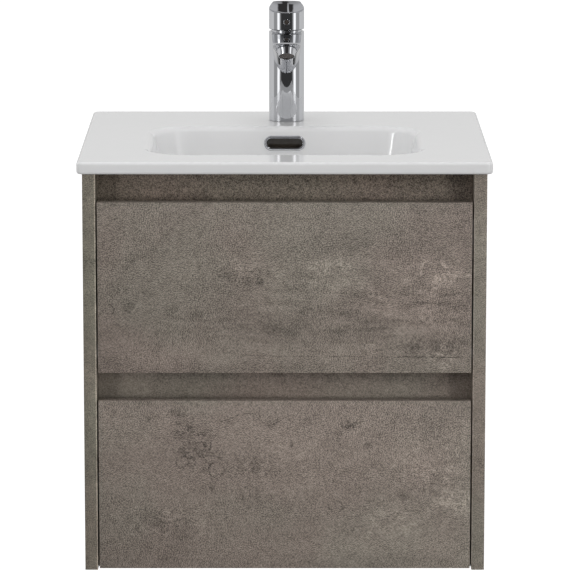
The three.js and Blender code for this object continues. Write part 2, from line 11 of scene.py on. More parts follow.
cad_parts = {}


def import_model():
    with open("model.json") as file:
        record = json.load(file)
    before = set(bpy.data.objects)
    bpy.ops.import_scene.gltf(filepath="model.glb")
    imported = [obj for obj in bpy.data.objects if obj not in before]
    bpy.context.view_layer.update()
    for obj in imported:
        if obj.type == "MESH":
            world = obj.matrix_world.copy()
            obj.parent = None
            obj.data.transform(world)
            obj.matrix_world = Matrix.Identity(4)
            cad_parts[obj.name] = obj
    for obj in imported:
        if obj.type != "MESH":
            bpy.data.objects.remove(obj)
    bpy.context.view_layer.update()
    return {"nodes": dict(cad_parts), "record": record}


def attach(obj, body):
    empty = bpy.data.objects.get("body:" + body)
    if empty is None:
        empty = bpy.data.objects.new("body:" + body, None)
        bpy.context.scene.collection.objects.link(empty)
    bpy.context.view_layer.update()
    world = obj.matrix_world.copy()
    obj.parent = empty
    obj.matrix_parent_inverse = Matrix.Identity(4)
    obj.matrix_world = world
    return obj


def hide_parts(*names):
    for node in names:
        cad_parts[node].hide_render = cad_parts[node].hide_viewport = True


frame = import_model()
nodes = frame["nodes"]

MM = 0.001
TOP = 85.0  # cabinet's top edge
DECK = 100.5  # basin's top surface
TAP = (2.5, -85.5, DECK)
WASTE_Y = -262.0


def down(t):
    return TOP - t


# ------------------------------------------------------------------ node graphs
class Graph:
    """A small helper that builds a node tree."""

    def __init__(self, tree):
        self.t = tree
        self.t.nodes.clear()

    def add(self, kind, ins=None, **props):
        n = self.t.nodes.new(kind)
        for k, v in props.items():
            setattr(n, k, v)
        for k, v in (ins or {}).items():
            self.put(n.inputs[k], v)
        return n

    def put(self, socket, v):
        if isinstance(v, bpy.types.NodeSocket):
            self.t.links.new(v, socket)
        else:
            socket.default_value = v

    def m(self, op, a, b=0.0, c=0.0, clamp=False):
        n = self.add("ShaderNodeMath", operation=op, use_clamp=clamp)
        self.put(n.inputs[0], a)
        self.put(n.inputs[1], b)
        self.put(n.inputs[2], c)
        return n.outputs[0]

    def v(self, op, a, b=(0, 0, 0), scale=None):
        n = self.add("ShaderNodeVectorMath", operation=op)
        self.put(n.inputs[0], a)
        self.put(n.inputs[1], b)
        if scale is not None:
            self.put(n.inputs["Scale"], scale)
        return n.outputs["Value"] if op in ("LENGTH", "DOT_PRODUCT", "DISTANCE") else n.outputs["Vector"]

    def noise(self, p, scale, detail=2.0, rough=0.5, distort=0.0, out="Fac"):
        n = self.add("ShaderNodeTexNoise")
        self.put(n.inputs["Vector"], p)
        self.put(n.inputs["Scale"], scale)
        self.put(n.inputs["Detail"], detail)
        self.put(n.inputs["Roughness"], rough)
        self.put(n.inputs["Distortion"], distort)
        return n.outputs[out]

    def ramp(self, fac, stops, mode="LINEAR"):
        n = self.add("ShaderNodeValToRGB")
        r = n.color_ramp
        r.interpolation = mode
        while len(r.elements) < len(stops):
            r.elements.new(0.5)
        for e, (pos, col) in zip(r.elements, stops):
            e.position = pos
            e.color = (*col, 1.0) if not isinstance(col, float) else (col, col, col, 1.0)
        self.put(n.inputs["Fac"], fac)
        return n.outputs["Color"]

    def rng(self, v, a, b, c=0.0, d=1.0, smooth=True):
        n = self.add("ShaderNodeMapRange", interpolation_type="SMOOTHSTEP" if smooth else "LINEAR")
        n.clamp = True
        for i, x in enumerate((v, a, b, c, d)):
            self.put(n.inputs[i], x)
        return n.outputs["Result"]

    def mixc(self, fac, a, b, blend="MIX"):
        n = self.add("ShaderNodeMix", data_type="RGBA", blend_type=blend)
        self.put(n.inputs[0], fac)
        self.put(n.inputs[6], a)
        self.put(n.inputs[7], b)
        return n.outputs[2]

    def scale_colour(self, colour, factor):
        """colour times a scalar."""
        n = self.add("ShaderNodeVectorMath", operation="SCALE")
        self.put(n.inputs[0], colour)
        self.put(n.inputs["Scale"], factor)
        return n.outputs["Vector"]


def material(name):
    m = bpy.data.materials.new(name)
    m.use_nodes = True
    g = Graph(m.node_tree)
    g.mat = m
    g.p = g.add("ShaderNodeTexCoord").outputs["Object"]
    g.shader = g.add("ShaderNodeBsdfPrincipled")
    g.out = g.add("ShaderNodeOutputMaterial")
    g.t.links.new(g.shader.outputs[0], g.out.inputs[0])
    return g


def bump(g, height, strength, distance):
    n = g.add("ShaderNodeBump")
    n.inputs["Strength"].default_value = strength
    n.inputs["Distance"].default_value = distance
    g.put(n.inputs["Height"], height)
    g.t.links.new(n.outputs[0], g.shader.inputs["Normal"])


# ------------------------------------------------------------------ laminate
# The boards' finish: a cloudy taupe concrete print with a fine grain. Patches are soft lighter or darker areas,
# each (x, z, half width, half height, strength) in mm in the row frame. Most are the print's clouds, but some patches
# and the tints of some boards are painted light and shade, as noted where they are set.
TAUPE = (0.268, 0.230, 0.196)


def laminate(name, seed, patches=(), tint=(1.0, 1.0, 1.0), cracks=1.0, wisps=1.0, along=(1.0, 1.0, 1.0), mottle=1.0, grain=1.0, crackle=(), strata=(), rings=(), hairs=(), arris=None):
    g = material(name)
    p0 = g.p
    p = g.v("ADD", p0, seed)
    wob = g.noise(p, 26.0, 3.0, 0.6, out="Color")
    wob = g.v("SUBTRACT", wob, (0.5, 0.5, 0.5))
    pw = g.v("ADD", p, g.v("SCALE", wob, scale=0.016))
    ps = g.v("MULTIPLY", pw, along)

    def centred(n, amp):
        return g.m("MULTIPLY", g.m("SUBTRACT", n, 0.5), 2.0 * amp)

    terms = [
        centred(g.noise(ps, 4.5, 2.0, 0.5), 0.05 * mottle),
        centred(g.noise(ps, 12.0, 2.0, 0.5), 0.17 * mottle),
        centred(g.noise(pw, 30.0, 2.0, 0.55), 0.20 * mottle),
        centred(g.noise(pw, 75.0, 2.0, 0.6), 0.24 * mottle),
        centred(g.noise(p, 190.0, 1.0, 0.6), 0.34 * grain),
        centred(g.noise(p, 400.0, 1.0, 0.6), 0.55 * grain),
        centred(g.noise(p, 800.0, 1.0, 0.7), 1.75 * grain),
    ]
    total = terms[0]
    for t in terms[1:]:
        total = g.m("ADD", total, t)
    # thin dark veins that come and go
    ridge = g.noise(pw, 13.0, 5.0, 0.62)
    line = g.rng(g.m("ABSOLUTE", g.m("SUBTRACT", ridge, 0.5)), 0.0, 0.011, 1.0, 0.0)
    where = g.rng(g.noise(p, 9.0, 1.0, 0.5), 0.56, 0.70, 0.0, 1.0)
    total = g.m("SUBTRACT", total, g.m("MULTIPLY", g.m("MULTIPLY", line, where), 0.26 * cracks))
    # light wispy strokes, drawn out sideways
    pf = g.v("MULTIPLY", pw, (1.0, 1.0, 2.3))
    ridge2 = g.noise(pf, 38.0, 4.0, 0.66, 0.6)
    line2 = g.rng(g.m("ABSOLUTE", g.m("SUBTRACT", ridge2, 0.5)), 0.0, 0.030, 1.0, 0.0)
    where2 = g.rng(g.noise(g.v("MULTIPLY", p, (1.0, 1.0, 2.0)), 7.0, 2.0, 0.5), 0.52, 0.66, 0.0, 1.0)
    total = g.m("ADD", total, g.m("MULTIPLY", g.m("MULTIPLY", line2, where2), 0.24 * wisps))
    # placed patches, with edges broken up by the same wobble
    ragged = g.v("ADD", p0, g.v("SCALE", wob, scale=0.055))
    closer = g.v("ADD", p0, g.v("SCALE", wob, scale=0.024))

    def within(at, x, z, rx, rz, inner=0.15, outer=1.15):
        d = g.v("SUBTRACT", at, (x * MM, 0.0, z * MM))
        d = g.v("MULTIPLY", d, (1.0 / (rx * MM), 0.0, 1.0 / (rz * MM)))
        return g.rng(g.v("LENGTH", d), inner, outer, 1.0, 0.0)

    def gather(rows, at, inner, outer):
        """The strongest of several ellipses, each with its own strength."""
        best = None
        for x, z, rx, rz, s in rows:
            f = g.m("MULTIPLY", within(at, x, z, rx, rz, inner, outer), s)
            best = f if best is None else g.m("MAXIMUM", best, f)
        return best

    for x, z, rx, rz, s in patches:
        small = max(rx, rz) < 16
        f = within(closer if small else ragged, x, z, rx, rz, 0.35 if small else 0.15, 1.15)
        total = g.m("ADD", total, g.m("MULTIPLY", f, s * (1.15 if small else 1.3)))
    # clusters of fine wandering lines, pale ones and dark ones
    for pale in (True, False):
        rows = [(x, z, rx, rz, abs(s)) for x, z, rx, rz, s in crackle if (s > 0) == pale]
        if rows:
            pc = g.v("ADD", pw, (0.31, 0.0, 0.17) if pale else (0.0, 0.0, 0.0))
            net = g.noise(g.v("MULTIPLY", pc, (1.0, 1.0, 1.7 if pale else 1.15)), 54.0, 4.0, 0.62, 1.3)
            net = g.rng(g.m("ABSOLUTE", g.m("SUBTRACT", net, 0.5)), 0.010, 0.050 if pale else 0.048, 1.0, 0.0)
            some = g.rng(g.noise(pc, 40.0, 2.0, 0.5), 0.42, 0.54, 0.0, 1.0)
            net = g.m("MULTIPLY", g.m("MULTIPLY", net, some), g.m("MULTIPLY", gather(rows, ragged, 0.55, 1.15), 1.95 if pale else 1.3))
            total = g.m("ADD" if pale else "SUBTRACT", total, net)
    # level layers, lighter and darker
    if strata:
        bed = centred(g.noise(g.v("MULTIPLY", g.v("ADD", p, g.v("SCALE", wob, scale=0.010)), (1.0, 1.0, 5.5)), 17.0, 3.0, 0.62), 1.0)
        total = g.m("ADD", total, g.m("MULTIPLY", bed, g.m("MULTIPLY", gather(strata, ragged, 0.4, 1.2), 2.0)))
    # small ring marks, dark outlines round a slightly dark middle
    for x, z, r, s in rings:
        d = g.v("LENGTH", g.v("MULTIPLY", g.v("SUBTRACT", g.v("ADD", p0, g.v("SCALE", wob, scale=0.022)), (x * MM, 0.0, z * MM)), (1.0, 0.0, 1.1)))
        rim = g.rng(g.m("ABSOLUTE", g.m("SUBTRACT", d, r * MM)), 0.0004, 0.0015, 1.0, 0.0)
        broken = g.rng(g.noise(p, 85.0, 1.0, 0.5), 0.36, 0.52, 0.0, 1.0)
        total = g.m("ADD", total, g.m("MULTIPLY", g.m("MULTIPLY", rim, broken), s * 1.45))
    # hair cracks: (x0, z0, x1, z1, strength)
    for x0, z0, x1, z1, s in hairs:
        run = math.hypot(x1 - x0, z1 - z0)
        ux, uz = (x1 - x0) / run, (z1 - z0) / run
        d = g.v("SUBTRACT", g.v("ADD", p0, g.v("SCALE", wob, scale=0.009)), (x0 * MM, 0.0, z0 * MM))
        t = g.v("DOT_PRODUCT", d, (ux, 0.0, uz))
        off = g.m("ABSOLUTE", g.v("DOT_PRODUCT", d, (-uz, 0.0, ux)))
        f = g.m("MULTIPLY", g.rng(off, 0.0003, 0.0012, 1.0, 0.0), g.m("MULTIPLY", g.rng(t, 0.0, 0.012), g.rng(t, (run - 12) * MM, run * MM, 1.0, 0.0)))
        broken = g.rng(g.noise(p, 40.0, 2.0, 0.5), 0.38, 0.52, 0.25, 1.0)
        total = g.m("ADD", total, g.m("MULTIPLY", g.m("MULTIPLY", f, broken), s * 1.8))
    value = g.m("MAXIMUM", g.m("ADD", total, 1.0), 0.25)
    # painted highlight on a side panel's inner front corner, where light catches the rounded edge, broken up by noise:
    # (x of its inner face, strength)
    if arris:
        sep = g.add("ShaderNodeSeparateXYZ")
        g.put(sep.inputs[0], p0)
        across = g.rng(g.m("ABSOLUTE", g.m("SUBTRACT", sep.outputs[0], arris[0] * MM)), 0.0009, 0.0016, 1.0, 0.0)
        front = g.rng(g.m("ABSOLUTE", g.m("ADD", sep.outputs[1], 460 * MM)), 0.0009, 0.0016, 1.0, 0.0)
        highlight_breakup = g.rng(g.noise(p, 60.0, 2.0, 0.5), 0.30, 0.62, 0.7, 1.15)
        value = g.m("MULTIPLY", value, g.m("ADD", 1.0, g.m("MULTIPLY", g.m("MULTIPLY", across, front), g.m("MULTIPLY", highlight_breakup, arris[1]))))
    # slow drift between a warmer and a greener taupe
    drift = g.rng(g.noise(ps, 6.0, 2.0, 0.5), 0.35, 0.65, 0.0, 1.0)
    warm = tuple(c * t * k for c, t, k in zip(TAUPE, tint, (1.02, 0.985, 0.985)))
    cool = tuple(c * t * k for c, t, k in zip(TAUPE, tint, (0.975, 1.005, 0.985)))
    colour = g.scale_colour(g.mixc(drift, (*warm, 1), (*cool, 1)), value)
    g.put(g.shader.inputs["Base Color"], colour)
    fine = g.noise(p, 420.0, 3.0, 0.6)
    rough = g.m("ADD", g.m("MULTIPLY", fine, 0.12), 0.46)
    g.put(g.shader.inputs["Roughness"], rough)
    g.shader.inputs["Specular IOR Level"].default_value = 0.35
    bump(g, fine, 0.35, 0.0002)
    return g.mat


def px(x, y):
    """A point on a drawer front in mm, from the column and row where the mark was seen in the 570 x 570 photograph."""
    return (x - 284.6) * 1.239, down(35.5 + (y - 202.6) * 1.2559)


def spots(rows):
    out = []
    for x, y, rx, ry, s in rows:
        cx, cz = px(x, y)
        out.append((cx, cz, rx * 1.24, ry * 1.26, s))
    return out


def marks(rows):
    return [(*px(x, y), r * 1.24, s) for x, y, r, s in rows]


def strokes(rows):
    return [(*px(a, b), *px(c, d), s) for a, b, c, d, s in rows]


UPPER = spots(
    [
        # broad areas: mostly the print's clouds; the long, low lighter ones along the bottom edge, rows 345 to 360, are
        # painted light
        (355, 247, 125, 17, -0.09), (290, 327, 86, 9, -0.14), (435, 347, 44, 8, -0.20), (200, 352, 110, 16, 0.08),
        (400, 215, 80, 12, 0.05), (130, 225, 40, 30, 0.02), (150, 300, 90, 60, 0.03), (240, 350, 190, 26, 0.03), (290, 358, 200, 12, 0.06), (120, 345, 40, 14, 0.05), (430, 238, 80, 44, -0.06), (190, 250, 70, 12, -0.06), (330, 352, 70, 12, 0.05),
        (150, 355, 90, 20, 0.07), (300, 360, 180, 14, 0.04), (440, 225, 70, 30, -0.06), (330, 215, 120, 16, -0.03), (404, 306, 52, 9, 0.09), (445, 328, 30, 6, 0.10), (270, 300, 40, 9, 0.05), (250, 218, 40, 14, 0.02),
        (245, 322, 46, 5, -0.06), (452, 300, 20, 12, -0.08),
        # small dark spots
        (173, 312, 5, 4, -0.26), (198, 314, 7, 5, -0.30), (129, 307, 4, 4, -0.26), (146, 295, 6, 5, -0.18),
        (226, 277, 7, 5, -0.24), (132, 258, 12, 2, -0.20), (113, 289, 7, 5, -0.14), (403, 288, 16, 3, -0.20),
        (316, 277, 8, 4, -0.16), (380, 272, 6, 4, -0.16), (268, 299, 12, 4, -0.14), (262, 285, 8, 3, -0.14),
        (340, 323, 22, 3, -0.12), (232, 330, 12, 3, -0.16), (101, 243, 4, 3, -0.25), (350, 312, 10, 3, -0.12),
    ]
)
UPPER_CRACKLE = spots(
    [
        (262, 272, 46, 12, 0.34), (315, 272, 46, 14, 0.32), (348, 293, 34, 14, 0.26), (432, 276, 42, 14, 0.42),
        (438, 354, 40, 13, 0.50), (372, 347, 22, 8, 0.30), (236, 332, 20, 6, 0.24), (390, 300, 50, 12, 0.22),
        (430, 318, 40, 10, 0.22), (262, 282, 36, 10, -0.30), (235, 273, 18, 10, -0.22), (440, 300, 34, 18, -0.22), (430, 352, 40, 12, -0.22),
    ]
)
UPPER_STRATA = spots([(400, 312, 90, 34, 0.42), (320, 300, 120, 40, 0.22), (300, 332, 150, 30, 0.20), (150, 250, 60, 20, 0.10)])
UPPER_RINGS = marks([(172, 312, 6, -0.2), (199, 314, 9, -0.14), (103, 278, 5, -0.18), (160, 218, 7, -0.12), (228, 276, 8, -0.16), (124, 270, 4, -0.14), (113, 289, 6, -0.26), (111, 309, 5, -0.26), (113, 213, 8, -0.18), (146, 296, 6, -0.16), (129, 307, 4, -0.2)])
UPPER_HAIRS = strokes([(240, 356, 350, 357, -0.24), (340, 357, 468, 358, -0.30), (169, 340, 185, 356, -0.22), (300, 352, 330, 350, -0.14), (400, 301, 455, 303, -0.16)])
LOWER = spots(
    [
        # broad areas: mostly the print's clouds; the long lighter ones along the bottom edge, rows 540 to 556, are
        # painted light
        (165, 533, 42, 22, -0.14), (255, 512, 50, 14, -0.06), (285, 545, 40, 18, -0.07), (436, 485, 40, 8, -0.13),
        (448, 512, 30, 16, 0.04), (230, 440, 130, 40, 0.035), (260, 540, 170, 34, 0.045), (160, 490, 90, 60, 0.03), (440, 430, 60, 60, -0.06), (330, 552, 180, 20, 0.07), (450, 556, 40, 20, 0.05), (140, 470, 44, 34, 0.03), (415, 455, 60, 20, 0.04), (330, 552, 60, 10, 0.04),
        (195, 446, 26, 20, -0.10), (403, 500, 16, 6, -0.13), (360, 470, 60, 10, -0.04), (330, 430, 60, 14, 0.03),
        (135, 404, 40, 4, -0.10), (150, 412, 60, 14, -0.03), (420, 548, 80, 20, 0.06), (250, 440, 60, 20, 0.04), (450, 420, 40, 20, -0.05),
        # small dark spots
        (111, 414, 4, 5, -0.26), (148, 420, 5, 4, -0.22), (182, 452, 4, 7, -0.24), (213, 490, 4, 5, -0.28),
        (307, 418, 7, 4, -0.22), (350, 428, 8, 5, -0.26), (338, 433, 5, 3, -0.2), (268, 427, 9, 5, -0.16),
        (291, 446, 3, 6, -0.24), (368, 448, 5, 4, -0.24), (251, 471, 4, 5, -0.16), (176, 419, 12, 3, -0.16),
        (403, 499, 7, 4, -0.16), (241, 498, 4, 8, -0.16), (393, 421, 4, 5, -0.12),
    ]
)
LOWER_CRACKLE = spots(
    [
        (195, 446, 28, 24, -0.44), (212, 466, 16, 16, -0.30), (268, 427, 18, 10, -0.34), (350, 427, 16, 9, -0.32),
        (250, 468, 26, 14, -0.26), (245, 500, 16, 16, -0.24), (160, 530, 44, 24, -0.24), (180, 416, 28, 6, -0.3),
        (456, 506, 30, 18, 0.36), (430, 470, 44, 26, 0.24), (440, 440, 40, 24, 0.18), (170, 530, 40, 18, 0.28),
        (290, 470, 60, 40, 0.14), (390, 528, 50, 16, 0.2),
    ]
)
LOWER_RINGS = marks([(215, 470, 7, -0.3), (181, 463, 6, -0.26), (335, 511, 7, -0.24), (251, 470, 6, -0.2), (241, 497, 8, -0.16), (304, 440, 6, -0.12)])
LOWER_HAIRS = strokes([(212, 425, 240, 416, -0.22), (236, 417, 265, 413, -0.22), (262, 431, 284, 420, -0.26), (290, 452, 294, 441, -0.24), (330, 472, 380, 474, -0.12), (345, 496, 395, 490, -0.10)])

LAMINATES = {
    # drawer fronts: the lower front's lighter tint is painted light, brightening it against the upper one
    "upper_drawer_front": laminate("laminate_upper_front", (3.1, 0.4, 1.7), UPPER, tint=(1.01, 1.01, 1.02), wisps=0.35, cracks=0.35, mottle=0.62, crackle=UPPER_CRACKLE, strata=UPPER_STRATA, rings=UPPER_RINGS, hairs=UPPER_HAIRS),
    "lower_drawer_front": laminate("laminate_lower_front", (7.7, 2.2, 4.3), LOWER, tint=(1.065, 1.07, 1.075), wisps=0.3, cracks=0.6, mottle=0.50, crackle=LOWER_CRACKLE, rings=LOWER_RINGS, hairs=LOWER_HAIRS),
    # side panels: the left one's darker tint is painted shade and the right one's lighter tint painted light, as light
    # falls from the right; their arris strengths paint the corner highlight, stronger on the left
    "side_panel_left": laminate("laminate_left_panel", (1.3, 5.2, 2.9), tint=(0.83, 0.87, 0.83), arris=(-234, 1.15), grain=0.68, cracks=1.6, wisps=1.4),
    "side_panel_right": laminate("laminate_right_panel", (8.3, 1.2, 6.1), tint=(1.03, 1.06, 1.05), arris=(234, 0.45), grain=0.68, cracks=1.2, wisps=1.4),
    # top grip rail: its darker tint is painted shade in the recess under the basin; the darker patch at the right end
    # is the painted shadow of the right side panel, and the lighter one at the left end painted light
    "top_grip_rail": laminate("laminate_top_rail", (5.9, 3.3, 0.8), tint=(0.81, 0.78, 0.75), wisps=0.3, cracks=0.6, mottle=1.0, grain=0.85, patches=[(-205, 70, 80, 60, 0.13), (225, 70, 30, 60, -0.10)], strata=[(0, 70, 300, 60, 0.10)]),
    # middle grip rail: its lighter tint and the lighter patches at the left end and along the bottom are painted light;
    # the dark band along the top is the painted shadow under the upper drawer front
    "middle_grip_rail": laminate("laminate_middle_rail", (2.4, 7.1, 5.5), tint=(1.07, 1.07, 1.07), patches=[(-215, -183, 70, 60, 0.26), (0, -166, 320, 14, -0.20), (40, -198, 260, 14, 0.09)], wisps=0.2, cracks=0.3, mottle=0.5, grain=0.48),
    "bottom_panel": laminate("laminate_bottom", (9.2, 6.4, 3.8)),
    "rear_top_rail": laminate("laminate_rear_top", (4.1, 8.8, 7.6)),
    "rear_bottom_rail": laminate("laminate_rear_bottom", (6.6, 9.5, 1.1)),
}


# ------------------------------------------------------------------ other finishes
def melamine():
    g = material("melamine_light_grey")
    n = g.noise(g.p, 160.0, 3.0, 0.6)
    c = g.noise(g.p, 9.0, 2.0, 0.5)
    f = g.m("ADD", g.m("MULTIPLY", n, 0.10), g.m("MULTIPLY", c, 0.05))
    g.put(g.shader.inputs["Base Color"], g.mixc(f, (0.42, 0.40, 0.37, 1), (0.60, 0.575, 0.54, 1)))
    g.put(g.shader.inputs["Roughness"], g.m("ADD", g.m("MULTIPLY", n, 0.12), 0.42))
    g.shader.inputs["Specular IOR Level"].default_value = 0.4
    bump(g, n, 0.25, 0.0002)
    return g.mat


def ceramic():
    g = material("glazed_ceramic")
    n = g.noise(g.p, 14.0, 2.0, 0.5)
    glaze = g.mixc(n, (0.856, 0.857, 0.858, 1), (0.866, 0.866, 0.866, 1))
    # painted shade: the inside of the overflow duct is coloured a very dark brown, standing in for the shade deep in
    # the duct
    s = g.add("ShaderNodeSeparateXYZ", {0: g.p})
    wall = g.m("SUBTRACT", g.m("MULTIPLY", g.m("SUBTRACT", s.outputs[2], 0.0908), -0.268), -0.1494)
    behind = g.m("ADD", s.outputs[1], wall)
    duct = g.m("MULTIPLY", g.rng(behind, 0.0012, 0.0022), g.rng(s.outputs[1], -0.1408, -0.1402, 1.0, 0.0))
    duct = g.m("MULTIPLY", duct, g.rng(g.m("ABSOLUTE", s.outputs[0]), 0.0285, 0.029, 1.0, 0.0))
    duct = g.m("MULTIPLY", duct, g.rng(s.outputs[2], 0.0885, 0.089, 1.0, 0.0))
    duct = g.m("MULTIPLY", duct, g.rng(s.outputs[2], 0.0685, 0.069, 0.0, 1.0))
    painted_duct_shade = g.mixc(g.noise(g.p, 130.0, 3.0, 0.6), (0.030, 0.024, 0.018, 1), (0.085, 0.070, 0.056, 1))
    g.put(g.shader.inputs["Base Color"], g.mixc(duct, glaze, painted_duct_shade))
    g.put(g.shader.inputs["Roughness"], g.m("ADD", g.m("MULTIPLY", g.noise(g.p, 60.0, 2.0, 0.5), 0.02), 0.05))
    g.shader.inputs["IOR"].default_value = 1.52
    bump(g, g.noise(g.p, 42.0, 1.0, 0.4), 0.05, 0.0006)
    return g.mat


def metal(name, low, high, rough, spread, grain=None, bumpiness=0.0):
    g = material(name)
    p = g.p if grain is None else g.v("MULTIPLY", g.p, grain)
    n = g.noise(p, 220.0, 3.0, 0.6)
    g.put(g.shader.inputs["Base Color"], g.mixc(n, (*low, 1), (*high, 1)))
    g.put(g.shader.inputs["Roughness"], g.m("ADD", g.m("MULTIPLY", n, spread), rough))
    g.shader.inputs["Metallic"].default_value = 1.0
    if bumpiness:
        bump(g, n, bumpiness, 0.0002)
    return g.mat


def plastic(name, low, high, rough, spread, strength=0.1, scale=300.0):
    g = material(name)
    n = g.noise(g.p, scale, 3.0, 0.6)
    g.put(g.shader.inputs["Base Color"], g.mixc(n, (*low, 1), (*high, 1)))
    g.put(g.shader.inputs["Roughness"], g.m("ADD", g.m("MULTIPLY", n, spread), rough))
    bump(g, n, strength, 0.0002)
    return g.mat


MELAMINE = melamine()
CERAMIC = ceramic()
CHROME = metal("polished_chrome", (0.590, 0.598, 0.618), (0.605, 0.613, 0.632), 0.012, 0.012)
RUNNER = metal("runner_steel", (0.52, 0.53, 0.55), (0.66, 0.67, 0.69), 0.26, 0.14, grain=(1.0, 0.05, 1.0), bumpiness=0.12)
ZINC = metal("zinc_steel", (0.50, 0.51, 0.53), (0.68, 0.69, 0.71), 0.30, 0.18, bumpiness=0.12)
BRASS = metal("turned_brass", (0.62, 0.46, 0.22), (0.74, 0.58, 0.32), 0.22, 0.12, bumpiness=0.08)
PIPE = plastic("white_polypropylene", (0.74, 0.74, 0.73), (0.80, 0.80, 0.79), 0.30, 0.10)
ACETAL = plastic("acetal", (0.50, 0.50, 0.49), (0.58, 0.58, 0.56), 0.42, 0.12)
RUBBER = plastic("black_rubber", (0.018, 0.018, 0.02), (0.032, 0.032, 0.034), 0.62, 0.2, 0.3)
SCREEN = plastic("dark_screen", (0.035, 0.028, 0.024), (0.075, 0.06, 0.05), 0.35, 0.2, 0.2, 900.0)

BY_SLOT = {
    "drawer_melamine": MELAMINE, "glazed_ceramic": CERAMIC, "chrome": CHROME, "runner_steel": RUNNER,
    "zinc_steel": ZINC, "white_plastic": PIPE, "cartridge_plastic": ACETAL, "rubber": RUBBER, "brass": BRASS,
}
slot_of = {s["node"]: s["material_slot"] for s in frame["record"]["subparts"]}


def paint(o, mat):
    o.data.materials.clear()
    o.data.materials.append(mat)


EDGE = {"concrete_laminate": (0.5, 2), "drawer_melamine": (0.6, 2)}
for name, o in nodes.items():
    slot = slot_of[name]
    paint(o, LAMINATES[name] if slot == "concrete_laminate" else BY_SLOT[slot])
    for poly in o.data.polygons:
        poly.use_smooth = True
    weld = o.modifiers.new("weld", "WELD")
    weld.merge_threshold = 2e-5
    width, segments = EDGE.get(slot, (0.25, 2))
    edge = o.modifiers.new("edge", "BEVEL")
    edge.width = width * MM
    edge.segments = segments
    edge.limit_method = "ANGLE"
    edge.angle_limit = math.radians(32)
    edge.harden_normals = True
    edge.miter_outer = "MITER_ARC"


# ------------------------------------------------------------------ shapes
def mesh_object(name, verts, faces, mat=None, scale=MM):
    me = bpy.data.meshes.new(name)
    me.from_pydata([tuple(float(c) * scale for c in v) for v in verts], [], faces)
    me.validate()
    me.update()
    o = bpy.data.objects.new(name, me)
    bpy.context.scene.collection.objects.link(o)
    if mat is not None:
        me.materials.append(mat)
    return o


def loft(rings):
    """Closed skin over rings of equal point count, lowest ring first, seen anticlockwise from above."""
    n = len(rings[0])
    verts = [tuple(p) for r in rings for p in r]
    faces = []
    for k in range(len(rings) - 1):
        for i in range(n):
            j = (i + 1) % n
            faces.append((k * n + i, k * n + j, (k + 1) * n + j, (k + 1) * n + i))
    for r, flip in ((0, True), (len(rings) - 1, False)):
        c = len(verts)
        verts.append(tuple(np.mean(np.array(rings[r], float), axis=0)))
        for i in range(n):
            a, b = r * n + i, r * n + (i + 1) % n
            faces.append((c, b, a) if flip else (c, a, b))
    return verts, faces


def lathe(profile, seg=96, x=0.0, y=0.0):
    """A closed profile of (radius, height) turned about Z. Points on the axis close it."""
    verts, faces, rows = [], [], []
    for r, z in profile:
        if r < 1e-6:
            rows.append([len(verts)] * seg)
            verts.append((x, y, z))
        else:
            rows.append(list(range(len(verts), len(verts) + seg)))
            for i in range(seg):
                a = 2 * math.pi * i / seg
                verts.append((x + r * math.cos(a), y + r * math.sin(a), z))
    count = len(rows)
    closed = profile[0][0] > 1e-6
    for k in range(count if closed else count - 1):
        a, b = rows[k], rows[(k + 1) % count]
        for i in range(seg):
            j = (i + 1) % seg
            quad = [a[i], a[j], b[j], b[i]]
            face = []
            for q in quad:
                if q not in face:
                    face.append(q)
            if len(face) > 2:
                faces.append(tuple(face))
    return verts, faces


def arc(cx, cz, r, a0, a1, n):
    """Points on an arc, in degrees, both ends included."""
    return [
        (cx + r * math.cos(math.radians(a0 + (a1 - a0) * i / n)), cz + r * math.sin(math.radians(a0 + (a1 - a0) * i / n)))
        for i in range(n + 1)
    ]


def block(name, x, y, z):
    v = [(a, b, c) for c in z for b in y for a in x]
    f = [(0, 2, 3, 1), (4, 5, 7, 6), (0, 1, 5, 4), (2, 6, 7, 3), (0, 4, 6, 2), (1, 3, 7, 5)]
    return mesh_object(name, v, f)


def outward(o):
    """Turns an inside-out closed mesh round."""
    me = o.data
    co = np.array([v.co for v in me.vertices], float)
    vol = 0.0
    for p in me.polygons:
        a = co[p.vertices[0]]
        for i in range(1, len(p.vertices) - 1):
            vol += float(np.dot(a, np.cross(co[p.vertices[i]], co[p.vertices[i + 1]])))
    if vol < 0:
        me.flip_normals()
    return o


def boolean(base, other, op):
    """base joined with, or cut by, other, which is used up."""
    outward(base)
    outward(other)
    m = base.modifiers.new("op", "BOOLEAN")
    m.operation = op
    m.object = other
    try:
        m.solver = "MANIFOLD"
    except TypeError:
        m.solver = "EXACT"
    dg = bpy.context.evaluated_depsgraph_get()
    me = bpy.data.meshes.new_from_object(base.evaluated_get(dg))
    base.modifiers.clear()
    old = base.data
    base.data = me
    bpy.data.meshes.remove(old)
    bpy.data.objects.remove(other)
    return base


def finish_piece(o, body, slot, mat, *stands_for, angle=35.0):
    """Smooth shading up to an angle, then rides, material and what it stands for. The slot argument is not used."""
    outward(o)
    paint(o, mat)
    me = o.data
    me.polygons.foreach_set("use_smooth", [True] * len(me.polygons))
    me.set_sharp_from_angle(angle=math.radians(angle))
    w = o.modifiers.new("normals", "WEIGHTED_NORMAL")
    w.keep_sharp = True
    w.mode = "FACE_AREA_WITH_ANGLE"
    w.weight = 80
    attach(o, body)
    if stands_for:
        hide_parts(*stands_for)
    return o


